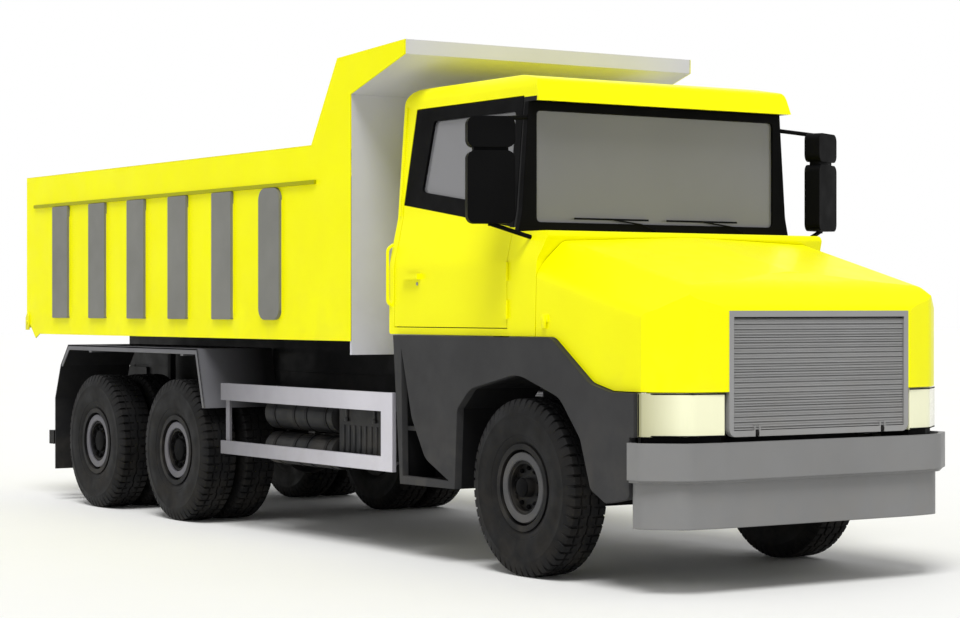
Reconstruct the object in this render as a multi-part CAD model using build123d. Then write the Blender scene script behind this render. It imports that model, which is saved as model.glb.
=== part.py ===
"""Bonneted three-axle tipper truck, in millimetres.

Everything is modelled from the front axle: +X forward, +Y to the left, +Z up, ground at z = 0.
Each piece is moved along X as it is written, so that the origin lies under the middle of the length.
"""
import math
import os

from build123d import *

# Overall sizes
wheelbase = 4760            # front axle to first driven axle
bogie_pitch = 1510          # first to second driven axle
front_overhang = 1510       # front axle to bumper face
rear_overhang = 1500        # last axle to rear end of the bed
body_half = 1250            # half width over the bed
cab_half = 1163             # half width of the cab below its windows
running_gap = 6             # gap between panels that move
rest_gap = 0.3              # gap where one part rests on another
bearing_gap = 0.5           # gap round a pin or shaft
cut = 10                    # how far a cutting tool runs past what it cuts
middle_axle_x = -wheelbase
last_axle_x = -wheelbase - bogie_pitch
bogie_mid_x = (middle_axle_x + last_axle_x) / 2
bed_rear_x = last_axle_x - rear_overhang
overall_length = front_overhang - bed_rear_x
origin_shift = overall_length / 2 - front_overhang
sides = (-1, 1)

# Wheels and tyres
tyre_r = 560
tyre_w = 300
tread_half = 120            # half width of the flat tread
rim_r = 254                 # bead seat
flange_r = 276
rim_half = 118
rim_t = 14
front_wheel_y = 1035
twin_y = 925                # middle between the two tyres of a twin wheel
twin_pitch = 345
hub_r = 95
spindle_r = 38
axle_end_r = 70
drum_r = 205
drum_t = 15
hand_hole_r = 24
hand_hole_pcd_r = 200
hand_holes = 10
hub_cap_r = 62

# Steering
kingpin_y = 870
kingpin_r = 25
kingpin_boss_r = 46
kingpin_boss_h = 150
yoke_t = 42
yoke_web_t = 16
arm_reach = 210             # kingpin to tie-rod ball, to the rear
arm_t = 30
arm_half = 24
tie_rod_r = 20
ball_r = 26
ball_pin_r = 12

# Ladder frame
frame_half = 385            # outer faces of the rails
rail_h = 280
rail_top = 1040
rail_flange = 80
rail_t = 8
rail_front_x = 1250
rail_end_gap = 70           # bed pivot to the rear ends of the rails
pivot_x = last_axle_x - 1080
pivot_z = 1110
pivot_r = 30
pivot_boss_r = 60
rail_rear_x = pivot_x + rail_end_gap
rail_bottom = rail_top - rail_h

# Cab
cab_floor_z = 1510
belt_z = 1980               # the sides lean in above this
waist_z = 2300
cab_waist_half = cab_half - 71
cab_top_z = 3190
cab_top_half = cab_half - 135
cab_rear_x = -1600
cab_wall = 45
screen_x = -100             # outer face of the upright windscreen
screen_low_z = 2172
screen_high_z = 3000
visor_x = 20
cowl_x = 250
cowl_foot_z = 1990          # where the cowl's slope meets the firewall
firewall_x = 140
glass_t = 6
glass_depth = 18            # outer skin to outer face of the glass

# Bonnet
bonnet_t = 12
grille_half = 715
grille_top_z = 1672
grille_low_z = 930
grille_depth = 40
nose_x = 1490
bonnet_low_z = 1196
bonnet_hinge_x = 1475
bonnet_hinge_z = 948
bonnet_hinge_y = 500
bonnet_pin_r = 10

# Bed
bed_front_x = -2017
bed_floor_z = 1540
bed_low_z = 1456
bed_top_z = 2852
bed_plate = 8
wall_t = 20
rib_depth = 25
bed_side_y = body_half - rib_depth
bed_inner_y = bed_side_y - bed_plate
kink_x = -2577
peak_x = -2204
peak_z = 3447
canopy_tip_x = -1297
canopy_tip_z = 3497
canopy_lip = 100
canopy_root_z = 3179
runner_w = 80
subframe_h = 140
tailgate_t = 50
tailgate_hinge_z = 2790
tailgate_pin_r = 20
tailgate_pin_x = bed_rear_x + tailgate_t / 2

# Bumper
bumper_top_z = 900
bumper_step_z = 680
bumper_low_z = 395
bumper_half = cab_half + 63
bumper_step = 45
bumper_t = 30
bumper_back_x = 1170

parts = {}


def face_of(points):
    """Closed face from rows of (u, v) or (u, v, corner radius)."""
    corners = [(row[0], row[1]) for row in points]
    radii = [row[2] if len(row) > 2 else 0 for row in points]
    if any(radii):
        return make_face(FilletPolyline(*corners, radius=radii, close=True))
    return make_face(Polyline(*corners, close=True))


def prism(points, depth):
    return extrude(face_of(points), depth, dir=(0, 0, 1))


def across(points, y0, y1):
    """Side outline (x, z) run from y0 to y1."""
    return Pos(0, y1, 0) * (Plane.XZ * prism(points, y1 - y0))


def along(points, x0, x1):
    """Front outline (y, z) run from x0 to x1."""
    return Pos(x0, 0, 0) * (Plane.YZ * prism(points, x1 - x0))


def upright(points, z0, z1):
    """Plan outline (x, y) run from z0 to z1."""
    return Pos(0, 0, z0) * prism(points, z1 - z0)


def block(x0, x1, y0, y1, z0, z1):
    centre = Pos((x0 + x1) / 2, (y0 + y1) / 2, (z0 + z1) / 2)
    return centre * Box(abs(x1 - x0), abs(y1 - y0), abs(z1 - z0))


def rod_x(radius, x0, x1, y, z):
    return Pos((x0 + x1) / 2, y, z) * Rot(0, 90, 0) * Cylinder(radius, abs(x1 - x0))


def rod_y(radius, y0, y1, x, z):
    return Pos(x, (y0 + y1) / 2, z) * Rot(90, 0, 0) * Cylinder(radius, abs(y1 - y0))


def rod_z(radius, z0, z1, x, y):
    return Pos(x, y, (z0 + z1) / 2) * Cylinder(radius, abs(z1 - z0))


def bar(radius, start, end):
    """Round bar between two points."""
    line = Line(start, end)
    return extrude(Plane(origin=start, z_dir=line % 0) * Circle(radius), line.length)


def turned(rows):
    """Ring turned about the Y axis from rows of (offset along Y, radius) or with a corner radius."""
    return revolve(Plane.YZ * face_of(rows), Axis.Y)


def sleeve(y0, y1, inner, outer):
    """Plain ring about the Y axis."""
    return turned([(y0, inner), (y1, inner), (y1, outer), (y0, outer)])


def leaf(x, half_span, end_z, middle_z, thickness, y0, y1):
    """Curved spring leaf, its underside at the given heights."""
    low = ThreePointArc((x - half_span, end_z), (x, middle_z), (x + half_span, end_z))
    high = ThreePointArc((x - half_span, end_z + thickness), (x, middle_z + thickness),
                         (x + half_span, end_z + thickness))
    face = make_face([low, high, Line(low @ 0, high @ 0), Line(low @ 1, high @ 1)])
    return Pos(0, y1, 0) * (Plane.XZ * extrude(face, y1 - y0, dir=(0, 0, 1)))


def other_side(shape):
    return mirror(shape, about=Plane.XZ)


def both_sides(shape):
    return [shape, other_side(shape)]


def keep(name, *shapes):
    """Add the solids of some shapes to a node."""
    parts.setdefault(name, []).extend(solid for shape in shapes for solid in shape.solids())


# Frame rails are open channels with their webs outside
def frame_rails():
    inner = frame_half - rail_flange
    web = frame_half - rail_t
    channel = [(frame_half, rail_bottom), (frame_half, rail_top), (inner, rail_top),
               (inner, rail_top - rail_t), (web, rail_top - rail_t), (web, rail_bottom + rail_t),
               (inner, rail_bottom + rail_t), (inner, rail_bottom)]
    keep("frame_rails", *both_sides(along(channel, rail_rear_x, rail_front_x)))


# Cross members are box tubes between the webs of the rails
cross_h = 110
cross_w = 90
cross_places = [1180, -1250, -2350, middle_axle_x + 760, bogie_mid_x, last_axle_x - 430]
coupling_pitch_y = 160
coupling_pitch_z = 100
coupling_hole_r = 10.5
end_plate_t = 20
cab_post_places = [-1450, 60]
cab_post_w = 80
cab_post_inset = 5


def cross_members():
    half = frame_half - rail_t
    z1 = rail_top - rail_t
    z0 = z1 - cross_h
    for x in cross_places:
        x0 = x - cross_w / 2
        x1 = x + cross_w / 2
        tube = block(x0, x1, -half, half, z0, z1)
        hollow = block(x0 + rail_t, x1 - rail_t, -half, half, z0 + rail_t, z1 - rail_t)
        keep("cross_members", tube - hollow)
    plate = block(rail_rear_x - end_plate_t, rail_rear_x, -frame_half, frame_half, rail_bottom, rail_top)
    for y_side in sides:
        for z_side in sides:
            plate -= rod_x(coupling_hole_r, rail_rear_x - end_plate_t - cut, rail_rear_x + cut,
                           y_side * coupling_pitch_y / 2,
                           rail_top - rail_h / 2 + z_side * coupling_pitch_z / 2)
    keep("cross_members", plate)
    outer = frame_half - cab_post_inset
    for x in cab_post_places:
        post = block(x - cab_post_w / 2, x + cab_post_w / 2, outer - cab_post_w, outer,
                     rail_top, cab_floor_z - rest_gap)
        keep("cross_members", *both_sides(post))


# Auxiliary frame under the bed, with the rear pivot ears
ear_t = 25
ear_reach = 350
ear_rise = 50
subframe_front_gap = 150


def tipping_subframe():
    beam = block(rail_rear_x, bed_front_x - subframe_front_gap, frame_half - runner_w, frame_half,
                 rail_top, rail_top + subframe_h)
    back = pivot_x - pivot_boss_r
    front = pivot_x + ear_reach
    foot = rail_bottom + pivot_boss_r
    outline = [(back, pivot_z, 0), (back, pivot_z + ear_rise, 40), (front, pivot_z + ear_rise, 20),
               (front, foot, 20), (pivot_x + 2 * pivot_boss_r, foot, 60), (back, pivot_z - ear_rise, 30)]
    ear = across(outline, frame_half, frame_half + ear_t)
    pin = rod_y(pivot_r, frame_half - runner_w, frame_half + ear_t, pivot_x, pivot_z)
    keep("tipping_subframe", *both_sides(beam + ear + pin))


# Front springs: stacked leaves on shackle pins, with hangers down from the rails
spring_y = 410
spring_w = 80
spring_half_span = 760
spring_eye_r = 26
spring_eye_z = 700
spring_leaves = 4
spring_leaf_t = 16
spring_seat_z = 575
spring_step = 150           # each leaf is this much shorter at each end
hanger_t = 15
hanger_half = 60


def front_springs():
    y0 = spring_y - spring_w / 2
    y1 = spring_y + spring_w / 2
    top_z = spring_seat_z + (spring_leaves - 1) * spring_leaf_t
    rise = spring_eye_z - top_z
    spring = None
    for n in range(spring_leaves):
        span = spring_half_span - n * spring_step
        middle = top_z - n * spring_leaf_t
        end = middle + rise * (span / spring_half_span) ** 2
        piece = leaf(0, span, end, middle, spring_leaf_t, y0, y1)
        spring = piece if spring is None else spring + piece
    for x in (-spring_half_span, spring_half_span):
        spring += rod_y(spring_eye_r, y0, y1, x, spring_eye_z)
        low = spring_eye_z - spring_eye_r - hanger_t / 2
        spring += across([(x - hanger_half, rail_bottom, 0), (x - hanger_half / 2, low, 20),
                          (x + hanger_half / 2, low, 20), (x + hanger_half, rail_bottom, 0)],
                         y0 - hanger_t, y0)
    keep("springs", *both_sides(spring))


# Front axle: a forged beam dropped between the springs, with a boss for each kingpin
beam_w = 90
beam_drop = 70              # how far the middle lies below the ends
beam_h = 90


def front_axle():
    end_high = tyre_r + beam_h / 2
    end_low = end_high - beam_h
    pad = spring_y + 2 * spring_w
    dip = spring_y + spring_w
    high = spring_seat_z - beam_drop / 2
    outline = [(-kingpin_y, end_high, 0), (-pad, end_high, 60), (-dip, high, 80), (dip, high, 80),
               (pad, end_high, 60), (kingpin_y, end_high, 0), (kingpin_y, end_low, 0),
               (pad, end_low, 60), (dip, high - beam_h, 60), (-dip, high - beam_h, 60),
               (-pad, end_low, 60), (-kingpin_y, end_low, 0)]
    beam = along(outline, -beam_w / 2, beam_w / 2)
    low = tyre_r - kingpin_boss_h / 2
    for s in sides:
        beam += rod_z(kingpin_boss_r, low, low + kingpin_boss_h, 0, s * kingpin_y)
        beam -= rod_z(kingpin_r + bearing_gap, low - cut, low + kingpin_boss_h + cut, 0, s * kingpin_y)
        beam += block(-beam_w, beam_w, s * (spring_y - spring_w / 2), s * (spring_y + spring_w / 2),
                      high - cut, spring_seat_z)
    keep("front_axle", beam)


# Knuckle: a yoke round the beam's boss with kingpin, spindle and steering arm
spindle_past = 90           # wheel middle to the spindle's end
socket_gap = 5


def knuckles():
    low = tyre_r - kingpin_boss_h / 2 - rest_gap
    high = tyre_r + kingpin_boss_h / 2 + rest_gap
    back_y = kingpin_y + kingpin_boss_r + rim_t / 3
    web_y = back_y + yoke_web_t
    yoke = rod_z(kingpin_r, low - yoke_t, high + yoke_t, 0, kingpin_y)
    for z in (low - yoke_t, high):
        yoke += rod_z(kingpin_boss_r, z, z + yoke_t, 0, kingpin_y)
        yoke += block(-kingpin_boss_r, kingpin_boss_r, kingpin_y, web_y, z, z + yoke_t)
    yoke += block(-kingpin_boss_r - yoke_web_t, kingpin_boss_r + yoke_web_t, back_y, web_y,
                  low - yoke_t, high + yoke_t)
    yoke += rod_y(spindle_r, back_y, front_wheel_y + spindle_past, 0, tyre_r)
    arm_z = low - yoke_t
    yoke += block(-arm_reach, kingpin_boss_r - cut, kingpin_y - arm_half, kingpin_y + arm_half,
                  arm_z, arm_z + arm_t)
    yoke += rod_z(arm_half + yoke_web_t / 3, arm_z, arm_z + arm_t, -arm_reach, kingpin_y)
    socket_top = arm_z - socket_gap
    socket_low = socket_top - 2 * ball_r
    yoke += rod_z(ball_pin_r, socket_low + ball_r / 2, arm_z, -arm_reach, kingpin_y)
    keep("knuckle_left", yoke)
    keep("knuckle_right", other_side(yoke))
    tie = rod_y(tie_rod_r, ball_pin_r + ball_r / 2 - kingpin_y, kingpin_y - ball_pin_r - ball_r / 2,
                -arm_reach, socket_top - ball_r)
    for s in sides:
        tie += rod_z(ball_r, socket_low, socket_top, -arm_reach, s * kingpin_y)
        tie -= rod_z(ball_pin_r + bearing_gap, socket_low, socket_top + cut, -arm_reach, s * kingpin_y)
    keep("tie_rod", tie)


# Driven axles and their springs on one trunnion
bogie_spring_y = 480
bogie_spring_w = 90
bogie_seat_t = 88           # axle centre to the spring's underside
axle_tube_r = 70
axle_tube_half = 590
axle_flange_r = 150
axle_flange_t = 30
axle_end_past = 190         # twin middle to the end of the axle
bowl_r = 230
nose_r = 110
tail_r = 80
shaft_z = tyre_r + 40
nose_reach = 330            # axle to its input flange
tail_reach = 290            # axle to its output flange
gearbox_end_x = -760
gearbox_z = 840


def drive_axles():
    for x in (middle_axle_x, last_axle_x):
        housing = rod_y(axle_tube_r, -axle_tube_half, axle_tube_half, x, tyre_r)
        housing += Pos(x, 0, tyre_r) * Sphere(bowl_r)
        housing += rod_x(nose_r, x, x + nose_reach, 0, shaft_z)
        if x == middle_axle_x:
            housing += rod_x(tail_r, x - tail_reach, x, 0, shaft_z)
        end_y = twin_y + axle_end_past
        housing += rod_y(axle_end_r, -end_y, end_y, x, tyre_r)
        for s in sides:
            housing += rod_y(axle_flange_r, s * (axle_tube_half - axle_flange_t), s * axle_tube_half,
                             x, tyre_r)
            housing += block(x - bogie_spring_w, x + bogie_spring_w, s * (bogie_spring_y - bogie_spring_w / 2),
                             s * (bogie_spring_y + bogie_spring_w / 2), tyre_r, tyre_r + bogie_seat_t)
        keep("drive_axles", housing)


bogie_leaves = 5
bogie_leaf_t = 26
bogie_leaf_step = 130
bogie_arch = 45             # how far the springs rise in the middle
trunnion_r = 45
trunnion_drop = 40
saddle_top_half = 110
saddle_low_half = 60
bracket_t = 30
bracket_top_half = 260
bracket_low_half = 90


def bogie_springs():
    seat = tyre_r + bogie_seat_t
    y0 = bogie_spring_y - bogie_spring_w / 2
    y1 = bogie_spring_y + bogie_spring_w / 2
    reach = bogie_pitch / 2 + bogie_spring_w - cut
    spring = None
    for n in range(bogie_leaves):
        span = reach - n * bogie_leaf_step
        middle = seat + bogie_arch + n * bogie_leaf_t
        end = middle - bogie_arch * (span / reach) ** 2
        piece = leaf(bogie_mid_x, span, end, middle, bogie_leaf_t, y0, y1)
        spring = piece if spring is None else spring + piece
    low = seat - 2 * trunnion_r
    spring += across([(bogie_mid_x - saddle_top_half, seat + bogie_arch + cut),
                      (bogie_mid_x + saddle_top_half, seat + bogie_arch + cut),
                      (bogie_mid_x + saddle_low_half, low), (bogie_mid_x - saddle_low_half, low)], y0, y1)
    spring += across([(bogie_mid_x - bracket_top_half, rail_bottom + rail_h / 2),
                      (bogie_mid_x + bracket_top_half, rail_bottom + rail_h / 2),
                      (bogie_mid_x + bracket_low_half, low), (bogie_mid_x - bracket_low_half, low)],
                     frame_half, frame_half + bracket_t)
    spring += rod_y(trunnion_r, frame_half, y1, bogie_mid_x, seat - trunnion_drop)
    keep("springs", *both_sides(spring))


# Engine with its gearbox as one block, and the radiator in front of its fan
engine_half = 295
engine_rear_x = 180
engine_front_x = 1080
engine_low_z = 640
engine_top_z = 1480
engine_slope = 180
gearbox_r = 240
gearbox_len = 830
gearbox_tail_r = 90
fan_gap = 60
radiator_t = 90
radiator_half = 430
radiator_top_z = 1640


def engine():
    outline = [(engine_rear_x, engine_low_z, 40), (engine_front_x, engine_low_z, 40),
               (engine_front_x, engine_top_z - engine_slope, 60),
               (engine_front_x - engine_slope, engine_top_z, 60), (engine_rear_x, engine_top_z, 60)]
    gearbox_rear_x = engine_rear_x - gearbox_len
    shape = across(outline, -engine_half, engine_half)
    shape += rod_x(gearbox_r, gearbox_rear_x, engine_rear_x, 0, gearbox_z + gearbox_tail_r / 4)
    shape += rod_x(gearbox_tail_r, gearbox_end_x, gearbox_rear_x, 0, gearbox_z)
    keep("engine", shape)
    front = engine_front_x + fan_gap
    keep("radiator", block(front, front + radiator_t, -radiator_half, radiator_half, rail_top, radiator_top_z))


shaft_flange_t = 16
shaft_flange_r = 62
shaft_r = 48


def propshafts():
    runs = [(gearbox_end_x, gearbox_z, middle_axle_x + nose_reach),
            (middle_axle_x - tail_reach, shaft_z, last_axle_x + nose_reach)]
    for start_x, start_z, end_x in runs:
        shaft = rod_x(shaft_flange_r, start_x - shaft_flange_t, start_x, 0, start_z)
        shaft += rod_x(shaft_flange_r, end_x, end_x + shaft_flange_t, 0, shaft_z)
        shaft += bar(shaft_r, (start_x - shaft_flange_t / 2, 0, start_z), (end_x + shaft_flange_t / 2, 0, shaft_z))
        behind = block(end_x - shaft_r, end_x, -nose_r, nose_r, shaft_z - nose_r, shaft_z + nose_r)
        keep("propshafts", shaft - behind)


# Tanks and boxes hung outside the rails
tank_y = 470
tank_w = 650
tank_low_z = 560
tank_h = 470
tank_rear_x = middle_axle_x + 860
tank_front_x = -2250
tank_corner = 60
tank_cap_r = 60
tank_cap_h = 30
strap_w = 60
strap_places = [tank_rear_x + 230, tank_front_x - 220]
air_r = 120
air_y = 980
air_heights = [640, 900]
air_rear_x = tank_rear_x + 400
air_front_x = -2500
battery_rear_x = -2350
battery_front_x = -1750
battery_y = 560
battery_w = 560
battery_low_z = 620
battery_top_z = 1060
holder_rear_x = air_rear_x - 50
holder_z = 780
holder_h = 80
saddle_w = 100
saddle_lap = 60


def tanks():
    y1 = tank_y + tank_w
    z1 = tank_low_z + tank_h
    outline = [(tank_y, tank_low_z, tank_corner), (y1, tank_low_z, tank_corner),
               (y1, z1, tank_corner), (tank_y, z1, tank_corner)]
    cap_y = y1 - tank_corner - tank_cap_r
    cap_z = z1 + rest_gap
    keep("side_tanks", along(outline, tank_rear_x, tank_front_x),
         rod_z(tank_cap_r, cap_z, cap_z + tank_cap_h, tank_rear_x + 4 * tank_cap_r, cap_y))
    for x in strap_places:
        keep("side_tanks", block(x - strap_w / 2, x + strap_w / 2, frame_half, tank_y - rest_gap,
                                 rail_bottom + tank_corner, rail_top - tank_corner))
    keep("side_tanks", block(holder_rear_x, battery_front_x, -battery_y, -frame_half, holder_z, holder_z + holder_h))
    keep("side_tanks", block(battery_rear_x, battery_front_x, -battery_y - battery_w, -battery_y - rest_gap,
                             battery_low_z, battery_top_z))
    for z in air_heights:
        keep("side_tanks", rod_x(air_r, air_rear_x, air_front_x, -air_y, z))
    middle_x = (air_rear_x + air_front_x) / 2
    saddle_low = air_heights[0] + air_r + rest_gap
    keep("side_tanks", block(middle_x - saddle_w / 2, middle_x + saddle_w / 2, -air_y, -battery_y + saddle_lap,
                             saddle_low, holder_z - rest_gap))


# Silencer beside the left rail, its pipe passing inside the wheel arch
silencer_r = 150
silencer_y = 590
silencer_z = 860
silencer_rear_x = -1500
silencer_front_x = -780
pipe_r = 50
pipe_y = 545
pipe_front_x = 300
silencer_post = 30


def exhaust():
    shape = rod_x(silencer_r, silencer_rear_x, silencer_front_x, silencer_y, silencer_z)
    shape += rod_x(pipe_r, silencer_front_x - cut, pipe_front_x, pipe_y, silencer_z)
    for x in (silencer_rear_x + silencer_r, silencer_front_x - silencer_r):
        shape += block(x - silencer_post, x + silencer_post, frame_half, silencer_y - silencer_r / 2,
                       silencer_z - silencer_post, silencer_z + silencer_post)
    keep("exhaust", shape)


# Side guards: two silver rails joined by an upright at the front
guard_y = body_half - 50
guard_t = 30
guard_rear_x = middle_axle_x + 730
guard_front_x = -1500
guard_low_z = 570
guard_low_h = 100
guard_top_z = 1110
guard_top_h = 130
guard_post_w = 150
guard_stay = 60
guard_stay_t = 20


def side_guards():
    y0 = guard_y - guard_t
    guard = block(guard_rear_x, guard_front_x, y0, guard_y, guard_top_z - guard_top_h, guard_top_z)
    guard += block(guard_rear_x, guard_front_x, y0, guard_y, guard_low_z, guard_low_z + guard_low_h)
    guard += block(guard_front_x - guard_post_w, guard_front_x, y0, guard_y, guard_low_z, guard_top_z)
    for x in (guard_rear_x + guard_stay, guard_front_x - guard_stay):
        x0 = x - guard_stay / 2
        x1 = x + guard_stay / 2
        guard += block(x0, x1, y0 - guard_stay_t, y0, guard_low_z, guard_top_z)
        guard += block(x0, x1, frame_half, y0 - guard_stay_t, rail_top - guard_stay, rail_top - guard_stay / 4)
    keep("side_guards", *both_sides(guard))


# Rear mudguards: one bent plate over both axles, its rear leg ending in a rubber flap
mud_in_y = 596
mud_t = 12
mud_top_z = 1370
mud_front_foot = (middle_axle_x + 560, 910)
mud_front_top_x = middle_axle_x + 430
mud_rear_top_x = last_axle_x - 530
mud_rear_knee = (last_axle_x - 690, 1190)
mud_rear_x = last_axle_x - 810
mud_flap_top_z = 900
mud_flap_low_z = 280
mud_stay = 50
mud_stay_places = [middle_axle_x + 60, last_axle_x - 180]
mud_stay_gap = 20


def mudguards():
    outer = [mud_front_foot, (mud_front_top_x, mud_top_z), (mud_rear_top_x, mud_top_z), mud_rear_knee,
             (mud_rear_x, mud_flap_top_z), (mud_rear_x, mud_flap_low_z)]
    inner = [(mud_rear_x + mud_t, mud_flap_low_z), (mud_rear_x + mud_t, mud_flap_top_z - mud_t / 3),
             (mud_rear_knee[0] + mud_t, mud_rear_knee[1] - mud_t / 2),
             (mud_rear_top_x + mud_t / 2, mud_top_z - mud_t), (mud_front_top_x - mud_t, mud_top_z - mud_t),
             (mud_front_foot[0] - mud_t, mud_front_foot[1])]
    keep("mudguards", *both_sides(across(outer + inner, mud_in_y, body_half)))
    y0 = frame_half + mud_stay_gap
    y1 = y0 + mud_stay
    top = mud_top_z - mud_t - rest_gap
    for x in mud_stay_places:
        x0 = x - mud_stay / 2
        x1 = x + mud_stay / 2
        stay = block(x0, x1, y0, body_half - mud_stay, top - mud_stay, top)
        post = block(x0, x1, y0, y1, mud_flap_top_z, top - mud_stay - rest_gap)
        foot = block(x0, x1, frame_half, y0 - rest_gap, mud_flap_top_z, mud_flap_top_z + mud_stay)
        keep("mudguards", *both_sides(stay), *both_sides(post), *both_sides(foot))


# Rear underrun bar hung from the rails, with the tail lamps on it
underrun_half = 1150
underrun_low_z = 480
underrun_h = 120
underrun_t = 100
underrun_gap = 60
underrun_leg_y = 300
underrun_leg_w = 76
underrun_foot = 200
tail_lamp_y = 760
tail_lamp_len = 360
tail_lamp_t = 30


def rear_underrun():
    x1 = rail_rear_x - underrun_gap
    x0 = x1 - underrun_t
    z1 = underrun_low_z + underrun_h
    beam = block(x0, x1, -underrun_half, underrun_half, underrun_low_z, z1)
    for s in sides:
        leg = s * underrun_leg_y
        leg_end = s * (underrun_leg_y + underrun_leg_w)
        beam += block(x1 - underrun_gap, x1, leg, leg_end, z1 - cut, rail_bottom)
        beam += block(x1 - underrun_gap, rail_rear_x + underrun_foot, leg, leg_end,
                      rail_bottom - underrun_gap, rail_bottom)
        beam += block(x0 - tail_lamp_t, x0 + cut, s * tail_lamp_y, s * (tail_lamp_y + tail_lamp_len),
                      underrun_low_z + cut, z1 - cut)
    keep("rear_underrun", beam)


# Front bumper, bowed in plan, with its lower half stepped in
bumper_flat_half = 760      # half width of the flat middle
bumper_bend_y = 1000
bumper_bend_drop = 30
bumper_corner_drop = 215
bumper_arm_y = 300
bumper_arm_low = 770
bumper_arm_h = 80


def bumper_plan(inset, reach=0):
    half = bumper_half - inset
    face = front_overhang - inset
    corner = face - bumper_corner_drop
    bend = face - bumper_bend_drop
    right = [(face, -bumper_flat_half, 200), (bend, -bumper_bend_y, 150), (corner, -half, 60),
             (bumper_back_x - reach, -half, 0)]
    left = [(x, -y, radius) for x, y, radius in reversed(right)]
    return right + left


def bumper_ring(inset, z0, z1):
    """Wall that follows the bumper's plan, open to the rear."""
    outer = upright(bumper_plan(inset), z0, z1)
    return outer - upright(bumper_plan(inset + bumper_t, cut), z0 - cut, z1 + cut)


def bumper():
    top = bumper_ring(0, bumper_step_z, bumper_top_z)
    low = bumper_ring(bumper_step, bumper_low_z, bumper_step_z)
    ledge = upright(bumper_plan(bumper_t / 2), bumper_step_z - bumper_t / 2, bumper_step_z)
    ledge -= upright(bumper_plan(bumper_step + bumper_t / 2, cut), bumper_step_z - bumper_t, bumper_step_z + cut)
    shell = top + low + ledge
    for s in sides:
        shell += block(rail_front_x, front_overhang - bumper_t / 2, s * bumper_arm_y, s * frame_half,
                       bumper_arm_low, bumper_arm_low + bumper_arm_h)
    keep("bumper", shell)


# Bonnet hinge ears stand on a beam across the front of the rails
hinge_beam_half = 560
hinge_beam_low = 860
hinge_beam_h = 140
hinge_beam_t = 20
hinge_ear_t = 20
hinge_ear_r = 18


def hinge_ears():
    x0 = rail_front_x
    beam = block(x0, x0 + hinge_beam_t, -hinge_beam_half, hinge_beam_half, hinge_beam_low,
                 hinge_beam_low + hinge_beam_h)
    low = bonnet_hinge_z - hinge_ear_r
    high = bonnet_hinge_z + hinge_ear_r
    tip = bonnet_hinge_x + hinge_ear_r
    outline = [(x0, hinge_beam_low + 2 * hinge_beam_t), (bonnet_hinge_x, low, hinge_ear_r - 1),
               (tip, low, hinge_ear_r - 1), (tip, high, hinge_ear_r - 1), (x0, high + hinge_ear_r)]
    for s in sides:
        y = s * bonnet_hinge_y
        beam += across(outline, y - hinge_ear_t / 2, y + hinge_ear_t / 2)
        beam -= rod_y(bonnet_pin_r + bearing_gap, y - hinge_ear_t, y + hinge_ear_t,
                      bonnet_hinge_x, bonnet_hinge_z)
    keep("bonnet_hinge_ears", beam)


# The lower edge of cab and bonnet, shared with the fenders: (x, z, corner radius)
skirt_line = [(firewall_x, cab_floor_z, 0), (360, cab_floor_z, 120), (760, 1240, 160),
              (960, bonnet_low_z, 120)]

# Fenders: an outer skin with a round wheel arch, a liner over the wheel and two entry steps
arch_line = [(775, 600, 60), (670, 900, 120), (455, 1140, 200), (0, 1275, 400), (-540, 1165, 200),
             (-690, 1030, 60)]
arch_half = 800
liner_end = (700, 800)      # where the liner stops in front of the wheel
fender_y = cab_half + 37
fender_skin_y = cab_half - 10
fender_rear_x = -1490
fender_nose_x = 1160
fender_low_z = 505
fender_chin_z = 565         # lower edge in front of the arch
recess_low_z = 555          # lower edge of the opening at the steps
fender_chin = [(fender_nose_x, fender_chin_z, 40), (930, fender_chin_z - 40, 70)]
fender_recess = [(-1385, 1420, 0), (-1365, recess_low_z, 0), (-790, recess_low_z, 0),
                 (-1080, recess_low_z + 130, 160), (-1250, 950, 160)]
fender_bracket_x = -1100
lamp_back_x = 1205
lamp_side_x = 1250
lamp_corners = [(1440, cab_half - 218, 120), (1300, cab_half - 38, 60)]
lamp_inner_y = 735
lamp_low_z = 935
liner_in_y = 640
liner_t = 20
step_in_y = 900
step_t = 30
upper_step_z = 860
fender_post_w = 60
fender_post_t = 40


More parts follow.
